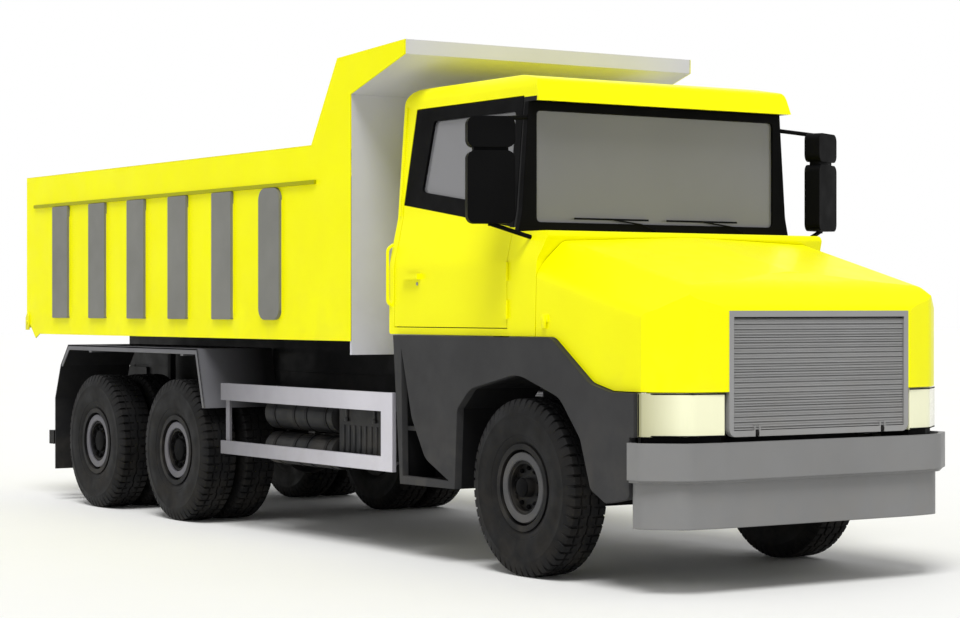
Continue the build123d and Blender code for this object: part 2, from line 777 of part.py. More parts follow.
def fenders():
    gap = running_gap
    top = [(x, z - gap, r) for x, z, r in skirt_line]
    foot_x = arch_line[-1][0] - 30
    outline = [(fender_rear_x, cab_floor_z - gap, 0), *top, (lamp_back_x, bonnet_low_z - gap, 0),
               (lamp_back_x, lamp_low_z - gap, 0), (fender_nose_x, lamp_low_z - gap, 0),
               *fender_chin, *arch_line, (foot_x, fender_low_z, 0),
               (fender_rear_x + 90, fender_low_z - gap, 0)]
    skin = across(outline, fender_skin_y, fender_y)
    skin -= across(fender_recess, fender_skin_y - cut, fender_y + cut)
    low = [(foot_x, fender_low_z)] + [(x, z) for x, z, r in reversed(arch_line[1:])] + [liner_end]
    high = [(x + liner_t * x / arch_half, z + liner_t) for x, z in low]
    high[0] = (foot_x - liner_t, fender_low_z)
    step_out_y = fender_skin_y - rest_gap
    liner = across(low + high[::-1], liner_in_y, step_out_y)
    rear = fender_rear_x + 100
    steps = block(rear, foot_x - liner_t / 2, step_in_y, step_out_y, fender_low_z, fender_low_z + step_t)
    steps += block(rear, foot_x + liner_t / 2, step_in_y + fender_post_w, step_out_y,
                   upper_step_z, upper_step_z + step_t)
    steps += block(rear, foot_x - liner_t / 2, step_in_y, step_in_y + liner_t, fender_low_z,
                   cab_floor_z - gap - fender_post_t)
    nose = block(lamp_back_x - liner_t, lamp_back_x, lamp_inner_y + cut, step_out_y,
                 lamp_low_z - fender_post_t, bonnet_low_z - gap)
    keep("fenders", *both_sides(skin), *both_sides(liner + steps), *both_sides(nose))
    arch_top = max(z for x, z, r in arch_line)
    brackets = [(fender_bracket_x, cab_floor_z - gap - 2 * fender_post_t, step_in_y - rest_gap),
                (0, arch_top + liner_t + rest_gap, step_out_y)]
    for x, z, reach in brackets:
        x0 = x - fender_post_w / 2
        x1 = x + fender_post_w / 2
        arm = block(x0, x1, frame_half, reach, z, z + fender_post_t)
        leg = block(x0, x1, frame_half, frame_half + fender_post_t, rail_bottom + fender_post_w, z - rest_gap)
        keep("fenders", *both_sides(arm), *both_sides(leg))


# Headlamps wrap round the corner below the bonnet
def headlamps():
    side_y = cab_half + cut
    plan = [(nose_x - liner_t / 2, lamp_inner_y, 10), *lamp_corners, (lamp_side_x, side_y, 10),
            (lamp_back_x, side_y, 0), (lamp_back_x, lamp_inner_y, 0)]
    keep("headlamps", *both_sides(upright(plan, lamp_low_z, bonnet_low_z - running_gap)))


# Cab body: a front outline run along the cab, cut to a side outline
cab_corner = 110
roof_rear_corner = 130
roof_slope_x = -300         # the roof falls forward of this
brow_drop = 45
brow_depth = 55


def cab_solid(inset):
    """The cab filled in, its faces moved inward by an inset. Only the outermost one has the visor."""
    half = cab_half - inset
    waist = cab_waist_half - inset
    top_half = cab_top_half - inset
    top = cab_top_z - inset
    low = cab_floor_z + inset
    corner = cab_corner - inset / 2
    right = [(half, low, 0), (half, belt_z, 300), (waist, waist_z, 300), (top_half, top, corner)]
    left = [(-y, z, radius) for y, z, radius in reversed(right)]
    rear = cab_rear_x + inset
    screen = screen_x - inset
    cowl = cowl_x - inset
    wall = firewall_x - inset
    brow = [(screen - 2 * brow_drop, top - rail_t, 60), (screen, top - cab_corner, 0)]
    if inset == 0:
        brow = [(visor_x - brow_depth, top - brow_drop, 50), (visor_x, screen_high_z, 0),
                (screen, screen_high_z, 0)]
    side_view = [(rear, low, 20), (rear, top, roof_rear_corner), (roof_slope_x, top, 400), *brow,
                 (screen, screen_low_z - inset, 0), (cowl, screen_low_z - inset, 30),
                 (wall + liner_t, cowl_foot_z, 100), (wall, low, 0)]
    return along(right + left, rear - cut, cowl + cut) & across(side_view, -half, half)


# Door and window outlines, seen from the side: (x, z) and corner radius
door_front_x = -165
door_rear_x = -1535
door_low_z = 1556
door_high_z = 3040
door_edge = [(door_rear_x, door_low_z), (door_front_x, door_low_z), (door_front_x, 2200),
             (-152, door_high_z), (-1440, door_high_z), (door_rear_x, 2390)]
belt_line = [(-1700, 2412), (-90, 2190)]
side_glass = [(-1310, 2470, 30), (-250, 2330, 30), (-235, 2945, 30), (-1212, 2945, 30)]
screen_glass_half = cab_top_half - 48
screen_glass_low = 2235
screen_glass_high = 2945
rear_glass_half = 600
rear_glass_low = 2350
rear_glass_high = 2880
glass_corner = 30
glass_lip = 12
glass_side_gap = 1
door_hinge_x = -158
door_hinge_y = cab_half + 9
door_pin_r = 9
door_hinge_h = 120
door_hinge_heights = [1680, 1920]
door_leaf = 40
handle_x = -1390
handle_z = 1880
handle_len = 200
handle_h = 40
handle_out = 34
handle_t = 12


def grown(points, amount):
    """Outline moved outward by an amount, about its middle."""
    us = [p[0] for p in points]
    vs = [p[1] for p in points]
    cu = (min(us) + max(us)) / 2
    cv = (min(vs) + max(vs)) / 2
    rows = []
    for u, v, *r in points:
        rows.append((u + amount * math.copysign(1, u - cu), v + amount * math.copysign(1, v - cv), *r))
    return rows


def window_outline(half, low, high):
    return [(-half, low, glass_corner), (half, low, glass_corner),
            (half, high, glass_corner), (-half, high, glass_corner)]


def cab_and_doors():
    shell = cab_solid(0) - cab_solid(cab_wall)
    pane = cab_solid(glass_depth) - cab_solid(glass_depth + glass_t)
    far = cab_half + 100
    near = cab_top_half - cab_wall - 30
    over = cab_top_z + 100
    under = cab_floor_z - 100
    door_hole = across(door_edge, near, far)
    door_fill = across(grown(door_edge, -running_gap), near, far)
    rear_belt, front_belt = belt_line
    above_belt = across(belt_line + [(front_belt[0], over), (rear_belt[0], over)], near, far)
    below_belt = across(belt_line + [(front_belt[0], under), (rear_belt[0], under)], near, far)
    glass_hole = across(side_glass, near, far)
    glass_seat = across(grown(side_glass, glass_lip), near, far)
    door_panel = shell & door_fill & below_belt
    for z in door_hinge_heights:
        z0 = z - door_hinge_h / 2
        z1 = z + door_hinge_h / 2
        door_panel += rod_z(door_pin_r, z0, z1, door_hinge_x, door_hinge_y)
        door_panel += block(door_hinge_x - door_leaf, door_hinge_x, cab_half + running_gap / 3,
                            door_hinge_y + door_pin_r / 2, z0, z1)
        door_panel += block(door_hinge_x - door_leaf, door_front_x - running_gap, cab_half - running_gap,
                            cab_half + running_gap, z0, z1)
    handle_y = cab_half - handle_t
    for x in (handle_x, handle_x + handle_len - handle_t):
        door_panel += block(x, x + handle_t, handle_y, cab_half + handle_out, handle_z, handle_z + handle_h)
    door_panel += block(handle_x, handle_x + handle_len, cab_half + handle_out - handle_t,
                        cab_half + handle_out, handle_z, handle_z + handle_h)
    window_frame = (shell & door_fill & above_belt) - glass_hole
    window_frame -= pane & glass_seat
    window = pane & across(grown(side_glass, glass_lip - glass_side_gap), near, far)
    for side, place in (("left", lambda shape: shape), ("right", other_side)):
        keep("door_" + side, place(door_panel))
        keep("window_frame_" + side, place(window_frame))
        keep("door_glass_" + side, place(window))
    front_band = block(screen_x - cab_wall, screen_x + 1, -far, far, screen_low_z, screen_high_z)
    screen_outline = window_outline(screen_glass_half, screen_glass_low, screen_glass_high)
    rear_outline = window_outline(rear_glass_half, rear_glass_low, rear_glass_high)
    screen_frame = (shell & front_band) - along(screen_outline, screen_x - cab_wall - cut, screen_x + cut)
    body = shell - front_band - along(rear_outline, cab_rear_x - cut, cab_rear_x + cab_wall + cut)
    body = body - door_hole - other_side(door_hole)
    panes = []
    for outline, x0 in ((screen_outline, screen_x - glass_depth - glass_t), (rear_outline, cab_rear_x + glass_depth)):
        slot = along(grown(outline, glass_lip), x0, x0 + glass_t)
        screen_frame -= slot
        body -= slot
        panes.append(along(grown(outline, glass_lip - glass_side_gap), x0 + rest_gap, x0 + glass_t - rest_gap))
    keep("cab", body)
    keep("windscreen_frame", screen_frame)
    keep("cab_glass", *panes)


# Inside the cab: two seats on bases, the dashboard and the steering wheel
seat_y = 520
seat_half = 250
seat_rear_x = -1450
seat_front_x = -830
seat_base_h = 280
seat_base_half = 200
seat_base_rear_x = -1300
seat_base_front_x = -880
cushion_t = 140
backrest_h = 660
backrest_t = 130
backrest_lean = 60
dash_half = cab_half - 123
dash_low_z = 1760
dash_high_z = 2100
dash_front_x = -420
dash_back_z = 1950          # top of the face that meets the firewall
dash_top_x = 60
wheel_centre = (-590, seat_y, 2210)
wheel_tilt = 38
wheel_rim_r = 225
wheel_grip_r = 15
spoke_w = 40
spoke_t = 14
column_r = 28
column_len = 320


def cab_inside():
    floor = cab_floor_z + cab_wall
    seat_z = floor + seat_base_h + cushion_t
    back_z = seat_z + rest_gap
    for s in sides:
        y = s * seat_y
        keep("seats", block(seat_rear_x, seat_front_x, y - seat_half, y + seat_half,
                            seat_z - cushion_t, seat_z))
        back = [(seat_rear_x, back_z), (seat_rear_x + backrest_t, back_z),
                (seat_rear_x + backrest_t - backrest_lean, back_z + backrest_h),
                (seat_rear_x - backrest_lean, back_z + backrest_h)]
        keep("seats", across(back, y - seat_half + cut, y + seat_half - cut))
        keep("seat_bases", block(seat_base_rear_x, seat_base_front_x, y - seat_base_half, y + seat_base_half,
                                 floor, floor + seat_base_h - rest_gap))
    slope = liner_t / (cowl_foot_z - floor)
    wall_x = firewall_x - cab_wall - rest_gap
    outline = [(dash_front_x, dash_high_z - 50, 40), (dash_front_x, dash_low_z + 140, 60),
               (dash_front_x + 170, dash_low_z, 60), (wall_x + slope * (dash_low_z - floor), dash_low_z, 0),
               (wall_x + slope * (dash_back_z - floor), dash_back_z, 0), (dash_top_x, dash_back_z + 50, 0),
               (dash_top_x, dash_high_z, 0), (dash_front_x + 60, dash_high_z, 30)]
    tilt = Pos(*wheel_centre) * Rot(0, -wheel_tilt, 0)
    below = Pos(0, 0, -column_len / 2)
    dash = across(outline, -dash_half, dash_half)
    keep("dashboard", dash - tilt * (below * Cylinder(column_r + bearing_gap, column_len + 1)))
    wheel = tilt * Torus(wheel_rim_r, wheel_grip_r)
    wheel += tilt * Box(2 * wheel_rim_r - wheel_grip_r, spoke_w, spoke_t)
    wheel += tilt * (below * Cylinder(column_r, column_len))
    keep("steering_wheel", wheel)


# Mirrors: a small one over a large one, on struts from the cowl and the screen pillar
mirror_gap = 57
mirror_w = 300
mirror_t = 110
mirror_toe = 25             # turned in towards the driver
mirror_x = -50
mirror_heights = [(2215, 2670), (2690, 2885)]
mirror_corner = 50
strut_r = 14
low_strut_foot = (60, 2120)
high_strut_foot = (-120, 2900)


def mirrors():
    y0 = cab_half + mirror_gap
    y1 = y0 + mirror_w
    middle = (y0 + y1) / 2
    half = mirror_w / 2
    low_z = mirror_heights[0][0]
    high_z = mirror_heights[1][1]
    shape = rod_z(strut_r, low_z - strut_r, high_z - strut_r, mirror_x, middle)
    turn = Pos(mirror_x, middle, 0) * Rot(0, 0, mirror_toe)
    for z0, z1 in mirror_heights:
        outline = [(-half, z0, mirror_corner), (half, z0, mirror_corner), (half, z1, mirror_corner),
                   (-half, z1, mirror_corner)]
        shape += turn * along(outline, -mirror_t / 2, mirror_t / 2)
    shape += bar(strut_r, (low_strut_foot[0], cab_waist_half, low_strut_foot[1]), (mirror_x, middle, low_z))
    shape += bar(strut_r, (high_strut_foot[0], cab_top_half, high_strut_foot[1]),
                 (mirror_x, middle, high_z - strut_r))
    shape -= Pos(0, rest_gap, 0) * cab_solid(0)
    shape -= Pos(0, rest_gap, 0) * cab_solid(cab_wall)
    outside = [solid for solid in shape.solids() if solid.bounding_box().max.Y > y0]
    keep("mirrors", *outside, *[other_side(solid) for solid in outside])


# Bonnet: a lofted hood cut to a rounded plan and a rounded side view. Columns:
# x, side half width, knee height, shoulder half width, shoulder height, crown height
hood_ends = [
    (firewall_x + 2 * running_gap, cab_half, 1900, cab_half - 153, 2125, 2165),
    (nose_x + cut, cab_half - running_gap, 1600, cab_half - 261, 1795, 1842),
]
knee_radius = 90
shoulder_radius = 70
nose_corners = [(1446, cab_half - 213, 160), (1295, cab_half - 35, 150)]
nose_half = lamp_inner_y
nose_edge_z = 1690
crown_break = (1180, 1918, 120)
nose_break = (1380, 1835, 260)


def hood(inset):
    sections = []
    low = bonnet_low_z - 100
    for x, side, knee, shoulder, shoulder_z, crown in hood_ends:
        right = [(side - inset, low, 0), (side - inset, knee - inset / 2, knee_radius),
                 (shoulder - inset, shoulder_z - inset, shoulder_radius)]
        left = [(-y, z, radius) for y, z, radius in reversed(right)]
        sections.append(Pos(x, 0, 0) * (Plane.YZ * face_of(right + [(0, crown - inset, 0)] + left)))
    over = screen_low_z + 100
    wide = cab_half + cut
    face = nose_x - inset
    left = [(lamp_back_x, wide, 0), (lamp_back_x, cab_half - inset, 0)]
    left += [(x - inset / 2, y - inset, radius) for x, y, radius in reversed(nose_corners)]
    left += [(face, nose_half - inset / 2, 100)]
    right = [(x, -y, radius) for x, y, radius in reversed(left)]
    plan = [(firewall_x, wide, 0), *left, *right, (firewall_x, -wide, 0)]
    x, z, radius = crown_break
    tip_x, tip_z, tip_radius = nose_break
    profile = [(firewall_x, low), (firewall_x, over), (x - 80, over), (x, z - inset, radius),
               (tip_x - inset / 2, tip_z - inset, tip_radius), (face, nose_edge_z - inset, 90), (face, low)]
    return loft(sections, ruled=True) & upright(plan, low, over) & across(profile, -wide, wide)


def bonnet():
    gap = running_gap
    slope = (cowl_x - firewall_x - liner_t) / (screen_low_z - cowl_foot_z)
    rise = 2 * liner_t
    outline = [(firewall_x + gap, cab_floor_z, 0), (firewall_x + liner_t + gap, cowl_foot_z, 100),
               (cowl_x + slope * rise + gap, screen_low_z + rise, 0), (nose_x + gap, screen_low_z + rise, 0),
               (nose_x + gap, bonnet_low_z, 0), *reversed(skirt_line[1:])]
    skin = hood(0) - hood(bonnet_t)
    skin = skin & across(outline, -cab_half - cut, cab_half + cut)
    skin -= block(lamp_back_x, nose_x + cut, -grille_half, grille_half, grille_low_z, grille_top_z)
    keep("bonnet", skin)


# Grille: a frame with level slats over a backing plate, carrying the bonnet's hinge pins
slat_pitch = 34
slat_t = 14
grille_border = 36
grille_back_t = 5
grille_corner = 50
lug_t = 8
lug_gap = 15                # hinge ear's middle to a lug's near face


def grille():
    x0 = nose_x - grille_depth
    half = grille_half - rest_gap
    top = grille_top_z - rest_gap
    inner_half = half - grille_border
    inner_low = grille_low_z + grille_border
    inner_top = top - grille_border
    outline = [(-half, grille_low_z, grille_corner), (half, grille_low_z, grille_corner),
               (half, top, 0), (-half, top, 0)]
    frame = along(outline, x0, nose_x)
    frame -= block(x0 + grille_back_t, nose_x + cut, -inner_half, inner_half, inner_low, inner_top)
    count = int((inner_top - inner_low) / slat_pitch)
    first = (inner_low + inner_top - (count - 1) * slat_pitch) / 2
    for n in range(count):
        z = first + n * slat_pitch
        frame += block(x0, nose_x - cut, -inner_half, inner_half, z - slat_t / 2, z + slat_t / 2)
    notch_top = bonnet_hinge_z + 2 * hinge_ear_r + cut
    for s in sides:
        y = s * bonnet_hinge_y
        frame -= block(x0 - cut, nose_x + cut, y - hinge_ear_t, y + hinge_ear_t, grille_low_z - cut, notch_top)
        for side in sides:
            lug_y = y + side * (lug_gap + lug_t / 2)
            frame += block(x0, nose_x, lug_y - lug_t / 2, lug_y + lug_t / 2, grille_low_z, notch_top)
        reach = lug_gap + lug_t / 2
        frame += rod_y(bonnet_pin_r, y - reach, y + reach, bonnet_hinge_x, bonnet_hinge_z)
    keep("grille", frame)


# Bed: floor, sides with grey ribs, front wall with its canopy, underframe and tailgate
rib_width = 320
rib_pitch = 763
rib_count = 6
rib_first_x = last_axle_x - 715
rib_low_z = 1600
rib_high_z = 2572
rib_corner = 12
last_rib_corner = 90
strip_z = 2575
strip_h = 28
strip_rear_x = bed_rear_x + 200
strip_front_x = -2500
strip_out = 20
bed_notch_x = 280
bed_notch_drop = 38
bed_notch_rise = 150
top_rail_w = 50
top_rail_h = 80
post_w = 60
post_gap = 35
floor_gap = 10
wall_low_z = 1360


def bed():
    outline = [(bed_rear_x, bed_top_z), (kink_x, bed_top_z), (peak_x, peak_z), (canopy_tip_x, canopy_tip_z),
               (canopy_tip_x, canopy_tip_z - canopy_lip), (bed_front_x, canopy_root_z),
               (bed_front_x, bed_low_z), (bed_rear_x + bed_notch_x, bed_low_z),
               (bed_rear_x + bed_notch_x - top_rail_h, bed_low_z - bed_notch_drop),
               (bed_rear_x, bed_low_z + bed_notch_rise)]
    side = across(outline, bed_inner_y, bed_side_y)
    post_x = bed_rear_x + tailgate_t + post_gap
    inner = bed_inner_y - top_rail_w
    side += block(post_x, kink_x, inner, bed_inner_y, bed_top_z - top_rail_h, bed_top_z)
    post = block(post_x, post_x + post_w, inner, bed_inner_y, bed_floor_z - bed_plate, bed_top_z - top_rail_h)
    side += post
    side += block(strip_rear_x, strip_front_x, bed_side_y, bed_side_y + strip_out, strip_z, strip_z + strip_h)
    side -= rod_y(tailgate_pin_r + bearing_gap, inner, bed_side_y + cut, tailgate_pin_x, tailgate_hinge_z)
    keep("bed_sides", *both_sides(side))
    floor = block(bed_rear_x + tailgate_t + floor_gap, bed_front_x - wall_t, -bed_inner_y, bed_inner_y,
                  bed_floor_z - bed_plate, bed_floor_z)
    keep("bed_floor", floor - post - other_side(post))
    for n in range(rib_count):
        x0 = rib_first_x + n * rib_pitch - rib_width / 2
        x1 = x0 + rib_width
        corner = last_rib_corner if n == rib_count - 1 else rib_corner
        rib = [(x0, rib_low_z, corner), (x1, rib_low_z, corner), (x1, rib_high_z, corner), (x0, rib_high_z, corner)]
        keep("bed_ribs", *both_sides(across(rib, bed_side_y, body_half)))


def headboard():
    wall = block(bed_front_x - wall_t, bed_front_x, -bed_inner_y, bed_inner_y, wall_low_z, canopy_root_z)
    root = canopy_root_z - 2 * wall_t
    outline = [(bed_front_x, canopy_root_z), (canopy_tip_x, canopy_tip_z - canopy_lip),
               (canopy_tip_x, canopy_tip_z), (peak_x, peak_z), (bed_front_x - wall_t, root), (bed_front_x, root)]
    solid = face_of(outline)
    ring = solid - offset(solid, -bed_plate)
    canopy = Pos(0, bed_inner_y, 0) * (Plane.XZ * extrude(ring, 2 * bed_inner_y, dir=(0, 0, 1)))
    keep("headboard", wall + canopy)


# Underframe: two runners that sit on the subframe, cross beams, and lugs for the lifting rams
bed_beam_w = 70
bed_beam_pitch = 560
bed_beam_first = 160
lug_plate_t = 14
ram_lug_y = 70              # ram's middle to each lug plate
ram_lug_r = 42
ram_lug_half = 150


def bed_underframe():
    low = rail_top + subframe_h + rest_gap
    y0 = frame_half - runner_w + 1
    y1 = frame_half - 1
    runner = block(pivot_x - pivot_boss_r, bed_front_x - wall_t, y0, y1, low, bed_low_z)
    runner += rod_y(pivot_boss_r, y0, y1, pivot_x, pivot_z)
    runner += block(pivot_x - pivot_boss_r + cut, pivot_x + pivot_boss_r - cut, y0, y1, pivot_z, low + cut)
    runner -= rod_y(pivot_r + bearing_gap, y0 - cut, y1 + cut, pivot_x, pivot_z)
    keep("bed_underframe", *both_sides(runner))
    beam_z = bed_low_z + rest_gap
    count = 1 + int((bed_front_x - 2 * bed_beam_w - bed_rear_x - bed_beam_first) / bed_beam_pitch)
    for n in range(count):
        x = bed_rear_x + bed_beam_first + n * bed_beam_pitch
        if abs(x + bed_beam_w / 2 - hoist_top_x) > ram_lug_half + bed_beam_w:
            keep("bed_underframe", block(x, x + bed_beam_w, -bed_inner_y, bed_inner_y, beam_z,
                                         bed_floor_z - bed_plate))
    keep("bed_underframe", block(hoist_top_x - ram_lug_half - cut, hoist_top_x + ram_lug_half + cut,
                                 -bed_inner_y, bed_inner_y, beam_z, bed_floor_z - bed_plate))
    foot = hoist_top_z - hoist_eye_r
    outline = [(hoist_top_x - ram_lug_half, bed_low_z), (hoist_top_x - hoist_eye_r, foot, 45),
               (hoist_top_x + hoist_eye_r, foot, 45), (hoist_top_x + ram_lug_half, bed_low_z)]
    for s in sides:
        for side in sides:
            y = s * (hoist_y + side * ram_lug_y)
            plate = across(outline, y - lug_plate_t / 2, y + lug_plate_t / 2)
            plate += rod_y(ram_lug_r, y, y + side * s * (lug_plate_t + running_gap / 2), hoist_top_x, hoist_top_z)
            keep("bed_underframe", plate)


# Two lifting rams between the rails: barrels on one cross shaft, two extending stages each
hoist_low_x = middle_axle_x + 960
hoist_low_z = 520
hoist_top_x = middle_axle_x - 440
hoist_top_z = 1360
hoist_y = 190
hoist_eye_half = 35
hoist_eye_r = 50
hoist_pin_r = 30
hoist_barrel_r = 78
hoist_stage_r = 64
hoist_rod_r = 50
hoist_foot = 60             # barrel past its shaft, and the depth of its floor
hoist_head = 180            # barrel's mouth to the upper eye
hoist_overlap = 20
hoist_bracket_y = 330
hoist_bracket_t = 24
hoist_bracket_half = 140


def hoist():
    low = Vector(hoist_low_x, 0, hoist_low_z)
    top = Vector(hoist_top_x, 0, hoist_top_z)
    length = (top - low).length
    at = Plane(origin=low, z_dir=(top - low).normalized(), x_dir=(0, 1, 0))
    mouth = length - hoist_head

    def tube(radius, z0, z1):
        return Pos(0, 0, (z0 + z1) / 2) * Cylinder(radius, z1 - z0)

    def pin(radius, half, z):
        return Pos(0, 0, z) * Rot(0, 90, 0) * Cylinder(radius, 2 * half)

    stage_foot = hoist_foot + hoist_overlap / 4
    rod_foot = stage_foot + hoist_overlap
    stage_mouth = mouth + 2 * hoist_overlap
    barrel = tube(hoist_barrel_r, -hoist_foot, mouth) - tube(hoist_stage_r + bearing_gap, hoist_foot, mouth + cut)
    barrel -= pin(hoist_pin_r + bearing_gap, hoist_barrel_r + cut, 0)
    stage = tube(hoist_stage_r, stage_foot, stage_mouth)
    stage -= tube(hoist_rod_r + bearing_gap, rod_foot - hoist_overlap / 4, stage_mouth + cut)
    rod = tube(hoist_rod_r, rod_foot, length - hoist_eye_r + cut) + pin(hoist_eye_r, hoist_eye_half, length)
    rod -= pin(hoist_pin_r + 1, hoist_eye_half + cut, length)
    shaft = pin(hoist_pin_r, hoist_bracket_y + hoist_bracket_t, 0)
    pair = [Pos(s * hoist_y, 0, 0) for s in sides]
    keep("hoist_barrels", at * shaft, *[at * (place * barrel) for place in pair])
    keep("hoist_stages", *[at * (place * stage) for place in pair])
    keep("hoist_rods", *[at * (place * rod) for place in pair])
    foot = hoist_low_z - 2 * hoist_pin_r
    outline = [(hoist_low_x - hoist_bracket_half, rail_bottom), (hoist_low_x - 2 * hoist_pin_r, foot, 50),
               (hoist_low_x + 2 * hoist_pin_r, foot, 50), (hoist_low_x + hoist_bracket_half, rail_bottom)]
    y0 = hoist_bracket_y - hoist_bracket_t / 2
    y1 = hoist_bracket_y + hoist_bracket_t / 2
    arm = across(outline, y0, y1)
    arm -= rod_y(hoist_pin_r + bearing_gap, y0 - cut, y1 + cut, hoist_low_x, hoist_low_z)
    keep("cross_members", *both_sides(arm))


# Tailgate: a plate framed by ribs, hung from a pin across the top
gate_low_z = bed_floor_z - 30
gate_rib = 60
gate_middle_z = 2150
gate_skin_t = 10
gate_over = 40


def tailgate():
    half = bed_inner_y - running_gap
    x0 = bed_rear_x + running_gap
    x1 = bed_rear_x + tailgate_t
    high = tailgate_hinge_z + gate_over
    gate = block(x1 - gate_skin_t, x1, -half, half, gate_low_z, high)
    for z in (gate_low_z, gate_middle_z, high - gate_rib):
        gate += block(x0, x1 - gate_skin_t, -half, half, z, z + gate_rib)
    bays = 4
    for n in range(bays + 1):
        y = -half + n * (2 * half - gate_rib) / bays
        gate += block(x0, x1 - gate_skin_t, y, y + gate_rib, gate_low_z, high)
    gate += rod_y(tailgate_pin_r, -bed_side_y, bed_side_y, tailgate_pin_x, tailgate_hinge_z)
    keep("tailgate", gate)


# Tyre outline, as (offset from its middle, radius, corner radius)
def tyre_ring():
    half = tyre_w / 2
    bead = rim_half - rim_t / 7
    right = [(tread_half, tyre_r, 12), (half - 4, 500, 40), (half, 400, 80), (bead, flange_r, 10),
             (bead, rim_r + 1, 0)]
    left = [(-y, r, corner) for y, r, corner in reversed(right)]
    return turned(left + right)


def rim_barrel():
    edge = rim_half + rim_t
    inner = rim_r - rim_t
    return turned([(-rim_half, flange_r), (-edge, flange_r), (-edge, inner), (edge, inner), (edge, flange_r),
                   (rim_half, flange_r), (rim_half, rim_r), (-rim_half, rim_r)])


def front_wheel():
    """Rim, disc with hand holes, hub and drum about the Y axis, outer side at +Y."""
    bore = spindle_r + bearing_gap
    disc_y = 70
    back_y = disc_y - rim_t
    inner_y = -95
    drum_back = -75
    disc = sleeve(back_y, disc_y, bore, rim_r - rim_t)
    hole = rod_y(hand_hole_r, back_y - cut, disc_y + cut, hand_hole_pcd_r, 0)
    for n in range(hand_holes):
        disc -= Rot(0, 360 / hand_holes * n, 0) * hole
    wheel = rim_barrel() + disc
    wheel += sleeve(inner_y, back_y, bore, hub_r)
    wheel += sleeve(drum_back, drum_back + drum_t, bore, drum_r)
    wheel += sleeve(drum_back, 40, drum_r - drum_t, drum_r)
    wheel += sleeve(disc_y, rim_half + rim_t / 3, bore, hub_cap_r)
    return wheel


def dished_wheel(disc_y, bore):
    """Rim with its dished disc, which lies at disc_y on one side of the rim's middle."""
    s = math.copysign(1, disc_y)
    back = disc_y - s * rim_t
    dish_r = hub_r + 90
    web = turned([(disc_y, bore), (disc_y, dish_r), (s * (rim_half - 10), rim_r - rim_t),
                  (s * (rim_half - 30), rim_r - rim_t), (back, dish_r), (back, bore)])
    return rim_barrel() + web


def twin_wheel():
    """Two dished wheels back to back on one hub, outer side at +Y."""
    bore = axle_end_r + bearing_gap
    hub_in = -150
    hub_out = axle_end_past + running_gap
    cap_t = 20
    wheel = sleeve(hub_in, hub_out, bore, hub_r + rim_t)
    wheel += rod_y(hub_r, hub_out, hub_out + cap_t, 0, 0)
    for s in sides:
        wheel += Pos(0, s * twin_pitch / 2, 0) * dished_wheel(-s * twin_pitch / 2, bore)
    return wheel


def wheels():
    centre = Pos(0, front_wheel_y, tyre_r)
    rim = centre * front_wheel()
    tyre = centre * tyre_ring()
    keep("rim_front_left", rim)
    keep("rim_front_right", other_side(rim))
    keep("tyre_front_left", tyre)
    keep("tyre_front_right", other_side(tyre))
    for axle, x in (("middle", middle_axle_x), ("rear", last_axle_x)):
        centre = Pos(x, twin_y, tyre_r)
        rims = centre * twin_wheel()
        tyres = [centre * Pos(0, s * twin_pitch / 2, 0) * tyre_ring() for s in sides]
        keep("rims_" + axle + "_left", rims)
        keep("rims_" + axle + "_right", other_side(rims))
        keep("tyres_" + axle + "_left", *tyres)
        keep("tyres_" + axle + "_right", *[other_side(tyre) for tyre in tyres])


frame_rails()
cross_members()
tipping_subframe()
front_springs()
front_axle()
knuckles()
drive_axles()
bogie_springs()
engine()
propshafts()
tanks()
exhaust()
side_guards()
mudguards()
rear_underrun()
bumper()
hinge_ears()
fenders()
headlamps()
cab_and_doors()
cab_inside()
mirrors()
bonnet()
grille()
bed()
headboard()
bed_underframe()
hoist()
tailgate()
wheels()

os.makedirs("parts", exist_ok=True)
for name, solids in parts.items():
    placed = [Pos(origin_shift, 0, 0) * solid for solid in solids]
    export_step(placed[0] if len(placed) == 1 else Compound(children=placed), f"parts/{name}.step")
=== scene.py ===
"""Looks of the bonneted tipper truck: finishes, finer pieces, floor, light and camera."""
import math

import bmesh
import bpy
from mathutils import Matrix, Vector


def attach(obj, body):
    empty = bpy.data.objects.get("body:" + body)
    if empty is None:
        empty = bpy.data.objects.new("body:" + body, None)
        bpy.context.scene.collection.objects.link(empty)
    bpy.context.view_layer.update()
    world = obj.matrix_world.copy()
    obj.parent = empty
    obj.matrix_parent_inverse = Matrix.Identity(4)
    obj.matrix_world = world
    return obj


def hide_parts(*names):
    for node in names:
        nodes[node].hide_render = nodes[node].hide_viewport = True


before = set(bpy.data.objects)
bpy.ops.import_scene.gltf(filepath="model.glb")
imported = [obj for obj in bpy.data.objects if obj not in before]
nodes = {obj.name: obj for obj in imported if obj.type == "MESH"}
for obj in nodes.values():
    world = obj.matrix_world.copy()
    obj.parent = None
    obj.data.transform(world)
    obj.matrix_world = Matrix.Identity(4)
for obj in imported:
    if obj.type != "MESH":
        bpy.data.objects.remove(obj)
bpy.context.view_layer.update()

front_axle_m = 3.13         # in the shared frame, in metres

# Places in millimetres from the front axle, as in the part's source: x forwards, y to the left, z up
axle_x = {"front": 0, "middle": -4760, "rear": -6270}
axle_z = 560
single_y = 1035             # middle of a front tyre
twin_y = 925                # middle of a pair of rear tyres
twin_half = 172.5           # from there to the middle of each tyre
frame_half = 385            # outside of a frame rail
rail_rear_x = -7280
sides = (("left", 1), ("right", -1))

truck_yellow = "FFFB00"
near_black = "060607"


# Finishes
def linear(code):
    """Linear colour of a six-digit sRGB code."""
    values = []
    for at in (0, 2, 4):
        c = int(code[at:at + 2], 16) / 255
        values.append(c / 12.92 if c <= 0.04045 else ((c + 0.055) / 1.055) ** 2.4)
    return (*values, 1.0)


